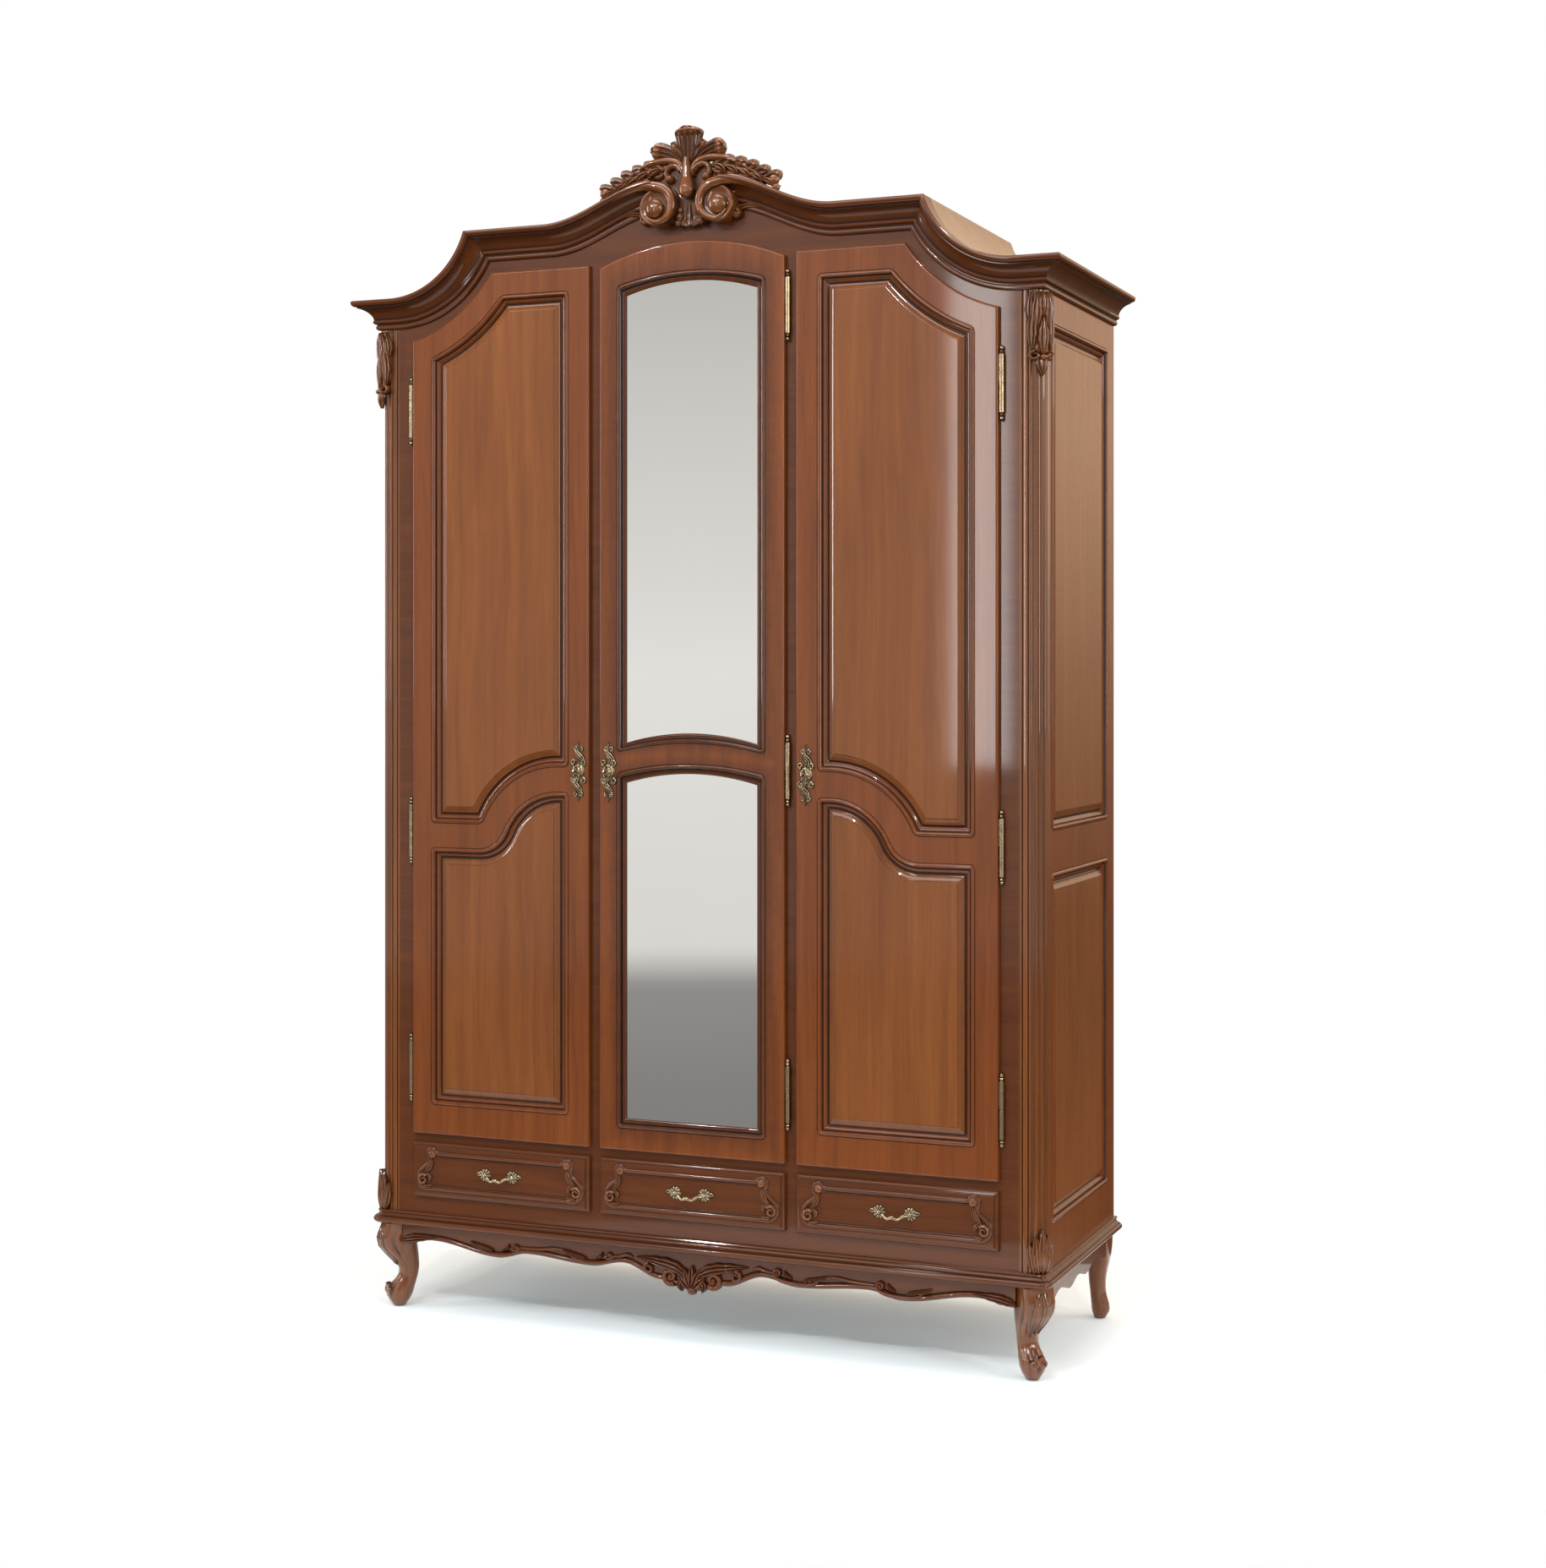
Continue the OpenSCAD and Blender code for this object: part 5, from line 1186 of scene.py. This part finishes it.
def hinges():
    """Hinges: barrels with beaded finials; the lower halves with their pins stay on the frame."""
    doors = bpy.context.scene.armoire_doors
    foot = DOOR_LO.z + 0.137
    outer = (DOOR_LO.z + 0.638, DOOR_HI.z - doors.shoulder - 0.147)
    inner = (DOOR_LO.z + 0.778, CENTRE_HI.z - 0.142)
    end = [(r * BARREL_R, BARREL_HALF + h) for r, h in FINIAL]
    # the knuckles meet with a small gap at the middle, and the pin goes up from the lower one
    lower_line = [(r, -h) for r, h in end[::-1]] + [(BARREL_R, -0.0006), (0.0046, -0.0002),
                                                    (PIN_R, -0.0002),
                                                    (PIN_R, 0.038), (0.0002, 0.039)]
    upper_line = [(PIN_R + 0.0001, 0.0002), (0.0046, 0.0002), (BARREL_R, 0.0006)] + end
    y = FACE_Y + AXIS_IN
    for side, sign, edge_x, (middle, head) in (("left", -1, DOOR_HI.x, outer),
                                               ("right", 1, DOOR_HI.x, outer),
                                               ("centre", 1, CENTRE_HI.x, inner)):
        x = (edge_x + AXIS_OUT) * sign
        lower, upper = [], []
        for z in (foot, middle, head):
            lower += [turned(lower_line, (x, y, z)),
                      plate_shell((x, y + 0.010), (0.001, 0.010), (z - 0.052, z - 0.003))]
            upper += [turned(upper_line, (x, y, z)),
                      plate_shell((x - sign * 0.012, y), (0.012, 0.001), (z + 0.004, z + 0.053))]
        make_piece(side + "_hinge_lower_halves", lower, "aged brass", "carcass", [side + "_hinge_pins"])
        make_piece(side + "_hinge_upper_halves", upper, "aged brass", side + "_door",
                   [side + "_door_hinges"])


def plate_shell(centre, half, z):
    """Thin plate with rounded upright edges: a stretched fourth-power circle carried from z to z."""
    turn = np.linspace(0, 2 * np.pi, 25)[:-1]
    grow = (np.abs(np.cos(turn)) ** 8 + np.abs(np.sin(turn)) ** 8) ** (-1 / 8)
    x = centre[0] + half[0] * grow * np.cos(turn)
    y = centre[1] + half[1] * grow * np.sin(turn)
    return skin(np.stack([np.stack([x, y, np.full_like(x, level)], -1) for level in z]))


def escutcheons():
    """Long curled escutcheons with a leaf at each end round an oval boss, and ring-bowed keys."""
    for side in BAYS:
        lo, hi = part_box(side + "_escutcheon")
        x, z = (lo.x + hi.x) / 2, (lo.z + hi.z) / 2
        half = (hi.z - lo.z) / 2
        shells = [boss((0, 0), 0.0135, 0.0042, stretch=1.25, dish=0.4)]
        for s in (-1, 1):
            path = spline([(0.002 * s, 0.010 * s), (0.007 * s, 0.026 * s), (-0.004 * s, 0.040 * s),
                           (0.001 * s, half * s)], 40)
            shells.append(leaf(path, 0.0075, 0.0046, ribs=3, lobes=3, base=0.0, sharp=0.65))
            for t in (-1, 1):
                ring = curl((t * 0.0105, s * 0.019), 0.0062, 0.002, -s * np.pi / 2, s * t * 1.1, 26)
                shells.append(scroll(ring, tapered(0.0026, 0.0014, 26), 0.0042, base=0.0))
                ring = curl((t * 0.0055, s * 0.047), 0.0048, 0.0016, -s * np.pi / 2, s * t * 1.0, 22)
                shells.append(scroll(ring, tapered(0.0021, 0.0012, 22), 0.0036, base=0.0))
        shells.append(boss((0, 0), 0.0062, 0.0060, stretch=1.5, dish=0.3))
        make_piece(side + "_curled_escutcheon", on_front(shells, x, z, FACE_Y), "aged brass",
                   side + "_door",
                   [side + "_escutcheon"], crease=50)
        ring_key(side, x, z)


# Radius and distance from the lock's end along a key's shank
SHANK = [(0.0001, 0.0), (0.0025, 0.0006), (0.0025, 0.0145), (0.0040, 0.0150), (0.0042, 0.0160),
         (0.0030, 0.0172), (0.0036, 0.0186), (0.0044, 0.0196), (0.0036, 0.0208), (0.0024, 0.0220),
         (0.0022, 0.0240), (0.0001, 0.0246)]


def ring_key(side, x, z):
    """A key: a ring bow whose section swells three times round it, and a turned shank into the lock."""
    lo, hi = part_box(side + "_key")
    bow_y = lo.y + 0.012
    u = np.linspace(0, 2 * np.pi, 49)[:-1, None]
    v = np.linspace(0, 2 * np.pi, 13)[None, :-1]
    swell = 0.0021 + 0.0008 * np.cos(3 * u) ** 2
    ring_r = 0.0088 + swell * np.cos(v)
    bow = grid(x + swell * 0.8 * np.sin(v), bow_y + ring_r * 0.98 * np.cos(u),
               z + ring_r * 1.12 * np.sin(u))
    bow = outward(bow.reshape(-1, 3), quads_of(*bow.shape[:2], True), [], np.zeros(bow.size // 3))
    start_y = hi.y - 0.0006         # just short of the lock
    stretch = (hi.y - bow_y) / SHANK[-1][1]
    rod = reshaped([turned(SHANK, (0, 0, 0), 20)],
                   lambda p: np.stack([x + p[:, 0], start_y - p[:, 2] * stretch, z + p[:, 1]], -1))
    make_piece(side + "_ring_key", [bow] + rod, "aged brass", side + "_key", [side + "_key"])


def pulls():
    """Drawer pulls: two shell rosettes on studs and a bowed bridge with a swollen middle."""
    for side in BAYS:
        lo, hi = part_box(side + "_drawer_pull")
        x, z = (lo.x + hi.x) / 2, (lo.z + hi.z) / 2
        reach = FACE_Y - lo.y
        shells = []
        for s in (-1, 1):
            shells.append(boss((s * 0.032, 0), 0.0140, 0.0052, petals=10, base=0.0))
            shells.append(boss((s * 0.032, 0), 0.0062, 0.0100, base=0.0))
            tip = spline([(s * 0.042, 0.0), (s * 0.047, 0.002), (s * 0.0525, 0.0)], 14)
            shells.append(leaf(tip, 0.0060, 0.0040, ribs=2, base=0.0))
        shells = on_front(shells, x, z, FACE_Y)
        t = np.linspace(-1, 1, 61)
        path = np.stack([x + 0.0325 * t, FACE_Y - (reach - 0.0042) * (1 - np.abs(t) ** 3.2) - 0.001,
                         z - 0.0075 * (1 - t ** 2) + 0.002 * np.cos(3 * np.pi * t)], -1)
        thick = 0.0026 + 0.0014 * np.exp(-(t / 0.16) ** 2)
        thick += 0.0009 * np.exp(-((np.abs(t) - 0.62) / 0.10) ** 2)
        way = np.gradient(path, axis=0)
        way /= np.linalg.norm(way, axis=1)[:, None]
        side_way = np.cross(way, [0, 0, 1.0])
        side_way /= np.linalg.norm(side_way, axis=1)[:, None]
        up = np.cross(side_way, way)
        turn = np.linspace(0, 2 * np.pi, 15)[:-1][None, :, None]
        round_it = np.cos(turn) * side_way[:, None] + np.sin(turn) * up[:, None]
        shells.append(skin(path[:, None] + thick[:, None, None] * round_it))
        make_piece(side + "_bowed_pull", shells, "aged brass", side + "_drawer", [side + "_drawer_pull"],
                   crease=50)


# ---- finishes ----

UPRIGHT = (1.0, 1.0, 0.035)
LEVEL = (0.035, 1.0, 1.0)


class Value:
    """An output socket with arithmetic: numbers go through Math nodes, and vectors through Vector Math."""

    def __init__(self, shader, socket):
        self.shader, self.socket = shader, socket

    @staticmethod
    def wide(side):
        return side.socket.type in ("VECTOR", "RGBA") if isinstance(side, Value) else not np.isscalar(side)

    def joined(self, operation, other, swapped=False):
        sides = (other, self) if swapped else (self, other)
        kind = "ShaderNodeVectorMath" if any(map(Value.wide, sides)) else "ShaderNodeMath"
        return self.shader.node(kind, {"operation": operation}, {0: sides[0], 1: sides[1]})

    def __add__(self, other):
        return self.joined("ADD", other)

    def __radd__(self, other):
        return self.joined("ADD", other, True)

    def __sub__(self, other):
        return self.joined("SUBTRACT", other)

    def __rsub__(self, other):
        return self.joined("SUBTRACT", other, True)

    def __mul__(self, other):
        return self.joined("MULTIPLY", other)

    def __rmul__(self, other):
        return self.joined("MULTIPLY", other, True)

    def __pow__(self, other):
        return self.joined("POWER", other)


class Nodes:
    """A node tree; each new node comes from node()."""

    def __init__(self, owner):
        owner.use_nodes = True
        self.tree = owner.node_tree

    def put(self, socket, value):
        if isinstance(value, Value):
            self.tree.links.new(value.socket, socket)
        elif socket.type == "RGBA":
            socket.default_value = (*value, 1.0)
        elif socket.type == "VECTOR" and np.isscalar(value):
            socket.default_value = (value,) * 3
        else:
            socket.default_value = value

    def node(self, kind, settings=None, inputs=None, output=0):
        """A node of a type, its settings made first, then its sockets' values or links."""
        made = self.tree.nodes.new(kind)
        for key, value in (settings or {}).items():
            if key == "stops":
                ramp = made.color_ramp
                while len(ramp.elements) < len(value):
                    ramp.elements.new(0.5)
                for stop, (place, tone) in zip(ramp.elements, value):
                    colour = (tone,) * 3 if np.isscalar(tone) else tone
                    stop.position, stop.color = place, (*colour, 1.0)
            else:
                setattr(made, key, value)
        for key, value in (inputs or {}).items():
            self.put(made.inputs[key], value)
        return Value(self, made.outputs[output])


class Shader(Nodes):
    """A material's nodes; surface() sets the Principled shader."""

    def __init__(self, name):
        material = bpy.data.materials.new(name)
        super().__init__(material)
        self.principled = self.tree.nodes["Principled BSDF"]

    def place(self):
        return self.node("ShaderNodeTexCoord", output="Object")

    def noise(self, vector, scale, detail=3.0, roughness=0.5, distortion=0.0):
        return self.node("ShaderNodeTexNoise", inputs={"Vector": vector, "Scale": scale, "Detail": detail,
                         "Roughness": roughness, "Distortion": distortion})

    def ramp(self, value, *stops):
        """The value sent through tones at places; only its brightness is used."""
        tone = self.node("ShaderNodeValToRGB", {"stops": stops}, {0: value})
        return self.node("ShaderNodeRGBToBW", inputs={0: tone})

    def mix(self, share, a, b):
        return self.node("ShaderNodeMix", {"data_type": "RGBA"}, {0: share, 6: a, 7: b}, output=2)

    def bump(self, height, distance, strength=1.0):
        return self.node("ShaderNodeBump", inputs={"Height": height, "Distance": distance,
                                                   "Strength": strength})

    def surface(self, **sockets):
        for key, value in sockets.items():
            self.put(self.principled.inputs[key.replace("_", " ")], value)


def wood(name, light, dark, glaze, grain=UPRIGHT, drift=0.35, gloss=0.30, coat=0.55, coat_rough=0.06,
         relief=1.0,
         shade_and_grime_depth=0.92):
    """Wood: fine lines and a wider figure along the grain, a soft drift of tone, and painted shade in the
    recesses, mottled by grime.
    """
    s = Shader(name)
    place = s.place()
    along = place * grain
    lines = s.noise(along, 420.0, 4.0, 0.55)
    figure = s.noise(along + s.noise(place, 3.0, 1.0) * 0.03, 42.0, 3.0, 0.55, 0.4)
    soft = s.noise(place * tuple(0.5 + 0.5 * g for g in grain), 3.4, 2.0, 0.5)
    tone = s.ramp(lines * (0.5 - 0.5 * drift) + figure * 0.5 + soft * (0.5 * drift), (0.30, 0.0),
                  (0.70, 1.0))
    colour = s.mix(tone, dark, light)
    pores = s.ramp(s.noise(place * tuple(g * g for g in grain), 900.0, 2.0), (0.60, 0.0), (0.74, 1.0))
    colour = s.mix(pores * 0.35, colour, tuple(0.45 * d for d in dark))
    recess = s.node("ShaderNodeAttribute", {"attribute_name": "glaze"}, output="Fac")
    grime = s.noise(place, 60.0, 4.0, 0.6)
    # Painted shade: the glaze attribute, mottled by grime, darkens the colour towards the recess shade
    # colour
    shade_and_grime = s.ramp(recess + grime * 0.35, (0.20, 0.0), (0.95, 1.0))
    colour = s.mix(shade_and_grime * shade_and_grime_depth, colour, glaze)
    rough = gloss + 0.12 * grime + 0.10 * shade_and_grime
    height = lines * 0.35 + s.noise(place, 24.0, 3.0) - pores * 0.25
    s.surface(Base_Color=colour, Roughness=rough, Specular_IOR_Level=0.12, Coat_Weight=coat,
              Coat_Roughness=coat_rough, Normal=s.bump(height, 0.0004 * relief, 0.35))


def metal(name, tone, patina_and_shade_tone, rough, gritty=0.0):
    """Metal: a tone that dulls in a soft mottle and darkens in the recesses, partly patina in the hollows
    and partly painted shade.
    """
    s = Shader(name)
    place = s.place()
    mottle = s.noise(place, 90.0, 4.0, 0.6)
    recess = s.node("ShaderNodeAttribute", {"attribute_name": "glaze"}, output="Fac")
    # Patina and painted shade: the glaze attribute and a mottle darken the metal towards its dark tone
    patina_and_shade = s.ramp(recess * 0.9 + mottle * 0.7, (0.26, 0.0), (0.72, 1.0))
    s.surface(Base_Color=s.mix(patina_and_shade, tone, patina_and_shade_tone), Roughness=rough + 0.22 * patina_and_shade, Metallic=1.0,
              Normal=s.bump(mottle, 0.0003, 0.25 + gritty))


def glass(name, tone):
    """Silvered glass: a smooth mirror with a slightly uneven tone."""
    s = Shader(name)
    soft = s.noise(s.place(), 2.2, 1.0)
    s.surface(Base_Color=s.mix(soft, tone, tuple(0.94 * t for t in tone)), Roughness=0.015, Metallic=1.0)


RAIL_SHADE_TONE = 0.60        # Tone of the rails' lacquer, as a share of the doors': level grain, and darker as painted shade for parts that sit in shadow


def scaled(colour, by):
    """The colour made lighter or darker."""
    return tuple(min(1.0, by * c) for c in colour)


CAD_FINISHES = {
    "lacquered walnut": ("bottom_board",),
    # painted shade: the rails, frieze and face frame take the darker copy of the lacquer
    "lacquered rail walnut": ("base_rails", "frieze", "face_frame"),
    "plain wood": ("back_panel", "partitions", "drawer_deck", "drawer_guides", "left_shelves",
                   "hat_shelves",
                   "roof_boards", "mirror_backs", "left_drawer_box", "centre_drawer_box",
                   "right_drawer_box"),
    "plated steel": ("hanging_rails", "lock_strikes", "left_lock", "centre_lock", "right_lock"),
    "aged brass": ("rail_sockets", "left_bolt", "centre_bolt", "right_bolt"),
    "silvered glass": ("mirrors",),
}


def finishes():
    """All finishes, and the finish of each part that keeps the frame's own shape."""
    f = bpy.context.scene.armoire_finish
    light, dark, glaze = tuple(f.lacquer_light), tuple(f.lacquer_dark), tuple(f.glaze)
    wood("lacquered walnut", light, dark, glaze)
    # a darker copy of the lacquer with level grain: painted shade for the rails, frieze, drawers, cornice
    # and apron
    wood("lacquered rail walnut", scaled(light, RAIL_SHADE_TONE), scaled(dark, RAIL_SHADE_TONE), glaze, grain=LEVEL)
    wood("panel walnut", tuple(f.panel_light), tuple(f.panel_dark), glaze, drift=0.55)
    wood("carved walnut", tuple(f.carved_light), tuple(f.carved_dark), glaze, gloss=0.24, coat=1.0,
         coat_rough=0.04, relief=1.6, shade_and_grime_depth=0.75)
    wood("plain wood", tuple(f.inside), scaled(f.inside, 0.72), scaled(f.inside, 0.3), gloss=0.55,
         coat=0.05,
         coat_rough=0.4)
    metal("aged brass", tuple(f.brass), scaled(f.brass, 0.10), 0.20, 0.25)
    metal("plated steel", tuple(f.steel), scaled(f.steel, 0.5), 0.30)
    glass("silvered glass", tuple(f.silver))
    for finish, nodes in CAD_FINISHES.items():
        for node in nodes:
            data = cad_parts[node].data
            data.materials.clear()
            data.materials.append(bpy.data.materials[finish])


# ---- stage ----


def soft_light(name, at, to, size, power):
    """Square soft light at a place, turned to face a point."""
    light = bpy.data.lights.new(name, "AREA")
    light.shape, light.size, light.size_y, light.energy = "RECTANGLE", size[0], size[1], power
    lamp = bpy.data.objects.new(name, light)
    lamp.location = at
    lamp.rotation_euler = (Vector(to) - Vector(at)).to_track_quat("-Z", "Y").to_euler()
    bpy.context.scene.collection.objects.link(lamp)


# Brightness of the room by the height of the way looked at, in front of the armoire and behind it
FRONT_ROOM = ((0.0, 0.08), (0.33, 0.28), (0.37, 0.34), (0.385, 0.86), (0.50, 0.94), (0.66, 0.64),
              (0.75, 0.35), (1.0, 0.30))
BACK_ROOM = ((0.0, 0.06), (0.40, 0.10), (0.50, 0.45), (0.60, 1.20), (1.0, 0.90))
PALE = (1.0, 0.985, 0.955)
WARM = (1.0, 0.74, 0.52)
# Name, place, point faced, size, and which of the stage's powers it has
LIGHTS = (("overhead", (0.4, -0.6, 5.2), (0.2, -0.2, 0.0), (3.6, 2.6), "top"),
          ("left_window", (-5.4, -2.4, 2.7), (0, 0, 1.8), (0.30, 3.0), "key"),
          ("high_front", (-0.8, -2.9, 3.5), (0, -0.25, 1.5), (2.6, 0.8), "high"),
          ("tall_window", (-1.03, -5.4, 2.1), (0.6, 0, 1.5), (0.24, 2.3), "sheen"),
          ("right_window", (5.2, -1.6, 2.3), (0.73, -0.2, 1.6), (0.9, 2.4), "fill"),
          ("side_light", (2.7, 0.9, 2.9), (0.75, 0.1, 1.95), (1.2, 1.6), "side"),
          ("left_lamp", (-2.4, -4.4, 4.0), (0, -0.25, 1.6), (0.16, 0.16), "lamp"),
          ("middle_lamp", (0.4, -4.6, 4.4), (0, -0.25, 1.6), (0.16, 0.16), "lamp"),
          ("right_lamp", (3.4, -3.6, 3.4), (0, -0.25, 1.6), (0.16, 0.16), "lamp"))
FLOOR_CENTRE = (0.2, -0.25)


def pale_floor(st):
    """Oval floor whose rings go out from under the armoire to where it is as bright as the room."""
    turn = np.linspace(0, 2 * np.pi, 97)[:-1]
    share = np.array([0.25, 0.5, 0.75, 1.0])[:, None]
    rings = grid(FLOOR_CENTRE[0] + st.floor_x * share * np.cos(turn),
                 FLOOR_CENTRE[1] + st.floor_y * share * np.sin(turn), 0.0)
    mesh = bpy.data.meshes.new("floor")
    mesh.from_pydata(rings.reshape(-1, 3).tolist(), [], quads_of(4, 96).tolist() + [list(range(96))])
    Shader("pale floor").surface(Base_Color=(0.86, 0.90, 0.93), Roughness=0.8,
                                 Emission_Color=(0.65, 0.92, 1.0), Emission_Strength=st.glow)
    mesh.materials.append(bpy.data.materials["pale floor"])
    floor = bpy.data.objects.new("floor", mesh)
    bpy.context.scene.collection.objects.link(floor)


def room(st):
    """The room's light: white where the camera looks at it, and elsewhere a pale wall over a dim floor."""
    world = bpy.data.worlds.new("room")
    w = Nodes(world)
    w.tree.nodes.remove(w.tree.nodes["Background"])

    def span(axis, reach):
        """The way looked at along an axis, from -reach to reach, as 0 to 1."""
        way = w.node("ShaderNodeTexCoord", output="Generated")
        part = w.node("ShaderNodeSeparateXYZ", inputs={0: way}, output=axis)
        return w.node("ShaderNodeMapRange", inputs={"Value": part, "From Min": -reach, "From Max": reach})

    def wall(stops, tint):
        tinted = [(place, tuple(tone * t for t in tint)) for place, tone in stops]
        return w.node("ShaderNodeValToRGB", {"stops": tinted}, {0: height})

    height = span("Z", 0.5)
    tone = w.node("ShaderNodeMix", {"data_type": "RGBA"},
                  {0: span("Y", 0.3), 6: wall(FRONT_ROOM, PALE), 7: wall(BACK_ROOM, WARM)}, output=2)
    lit = w.node("ShaderNodeBackground", inputs={"Color": tone, "Strength": st.room})
    seen = w.node("ShaderNodeBackground", inputs={"Color": (1.0, 1.0, 1.0)})
    by_camera = w.node("ShaderNodeLightPath", output="Is Camera Ray")
    either = w.node("ShaderNodeMixShader", inputs={0: by_camera, 1: lit, 2: seen})
    w.put(w.tree.nodes["World Output"].inputs["Surface"], either)
    bpy.context.scene.world = world


def stage():
    """Pale floor, soft lights, even room light and the camera."""
    scene = bpy.context.scene
    st = scene.armoire_stage
    pale_floor(st)
    for name, at, to, size, power in LIGHTS:
        soft_light(name, at, to, size, getattr(st, power))
    room(st)
    camera = bpy.data.cameras.new("camera")
    camera.lens, camera.sensor_width, camera.shift_y = st.lens, 36.0, st.camera_shift
    holder = bpy.data.objects.new("camera", camera)
    holder.location = st.camera_at
    holder.rotation_euler = (math.pi / 2, 0.0, st.camera_turn)
    scene.collection.objects.link(holder)
    scene.camera = holder
    scene.view_settings.view_transform = "Standard"


# ---- the add-on ----


class ARMOIRE_OT_finishes(Operator):
    """Make the woods, metals and glass, and put them on the parts that keep their shape"""
    bl_idname = "armoire.finishes"
    bl_label = "Finishes"

    def execute(self, context):
        finishes()
        return {"FINISHED"}


class ARMOIRE_OT_outer_doors(Operator):
    """Build the moulded frames and the fielded panels of both outer doors"""
    bl_idname = "armoire.outer_doors"
    bl_label = "Outer doors"

    def execute(self, context):
        outer_door("left")
        outer_door("right")
        return {"FINISHED"}


class ARMOIRE_OT_centre_door(Operator):
    """Build the moulded frame of the mirrored centre door"""
    bl_idname = "armoire.centre_door"
    bl_label = "Centre door"

    def execute(self, context):
        centre_door()
        return {"FINISHED"}


class ARMOIRE_OT_sides(Operator):
    """Build the frames and the fielded panels of both sides"""
    bl_idname = "armoire.sides"
    bl_label = "Sides"

    def execute(self, context):
        side_frames()
        return {"FINISHED"}


class ARMOIRE_OT_mouldings(Operator):
    """Build the cornice, the waist moulding and the fluted posts"""
    bl_idname = "armoire.mouldings"
    bl_label = "Mouldings"

    def execute(self, context):
        cornice()
        waist_moulding()
        corner_posts()
        return {"FINISHED"}


class ARMOIRE_OT_drawers(Operator):
    """Build the moulded drawer fronts"""
    bl_idname = "armoire.drawers"
    bl_label = "Drawer fronts"

    def execute(self, context):
        drawer_fronts()
        return {"FINISHED"}


class ARMOIRE_OT_crest(Operator):
    """Build the carved crest"""
    bl_idname = "armoire.crest"
    bl_label = "Crest"

    def execute(self, context):
        crest()
        return {"FINISHED"}


class ARMOIRE_OT_post_carvings(Operator):
    """Build the leaves at the heads and the feet of the posts"""
    bl_idname = "armoire.post_carvings"
    bl_label = "Post carvings"

    def execute(self, context):
        post_carvings()
        return {"FINISHED"}


class ARMOIRE_OT_base(Operator):
    """Build the carved apron and the bent legs"""
    bl_idname = "armoire.base"
    bl_label = "Apron and legs"

    def execute(self, context):
        apron()
        legs()
        return {"FINISHED"}


class ARMOIRE_OT_brassware(Operator):
    """Build the hinges, escutcheons, keys and drawer pulls"""
    bl_idname = "armoire.brassware"
    bl_label = "Brassware"

    def execute(self, context):
        hinges()
        escutcheons()
        pulls()
        return {"FINISHED"}


class ARMOIRE_OT_stage(Operator):
    """Set up the floor, the lights, the room light and the camera"""
    bl_idname = "armoire.stage"
    bl_label = "Stage"

    def execute(self, context):
        stage()
        return {"FINISHED"}


OPERATORS = (ARMOIRE_OT_finishes, ARMOIRE_OT_outer_doors, ARMOIRE_OT_centre_door, ARMOIRE_OT_sides,
             ARMOIRE_OT_mouldings, ARMOIRE_OT_drawers, ARMOIRE_OT_crest, ARMOIRE_OT_post_carvings,
             ARMOIRE_OT_base, ARMOIRE_OT_brassware, ARMOIRE_OT_stage)
GROUPS = {"armoire_doors": ARMOIRE_PG_doors, "armoire_centre": ARMOIRE_PG_centre,
          "armoire_cornice": ARMOIRE_PG_cornice, "armoire_finish": ARMOIRE_PG_finish,
          "armoire_stage": ARMOIRE_PG_stage}


class ARMOIRE_PT_main(Panel):
    """The armoire's operators, in the order they are run"""
    bl_idname = "ARMOIRE_PT_main"
    bl_label = "Armoire"
    bl_space_type = "VIEW_3D"
    bl_region_type = "UI"
    bl_category = "Armoire"

    def draw(self, context):
        for operator in OPERATORS:
            self.layout.operator(operator.bl_idname)


def register():
    for group in GROUPS.values():
        bpy.utils.register_class(group)
    for name, group in GROUPS.items():
        setattr(bpy.types.Scene, name, PointerProperty(type=group))
    for item in OPERATORS + (ARMOIRE_PT_main,):
        bpy.utils.register_class(item)


def unregister():
    for item in (ARMOIRE_PT_main,) + OPERATORS[::-1]:
        bpy.utils.unregister_class(item)
    for name in GROUPS:
        delattr(bpy.types.Scene, name)
    for group in reversed(GROUPS.values()):
        bpy.utils.unregister_class(group)


def main():
    register()
    for operator in OPERATORS:
        getattr(bpy.ops.armoire, operator.bl_idname.split(".")[1])()


if __name__ == "__main__":
    main()
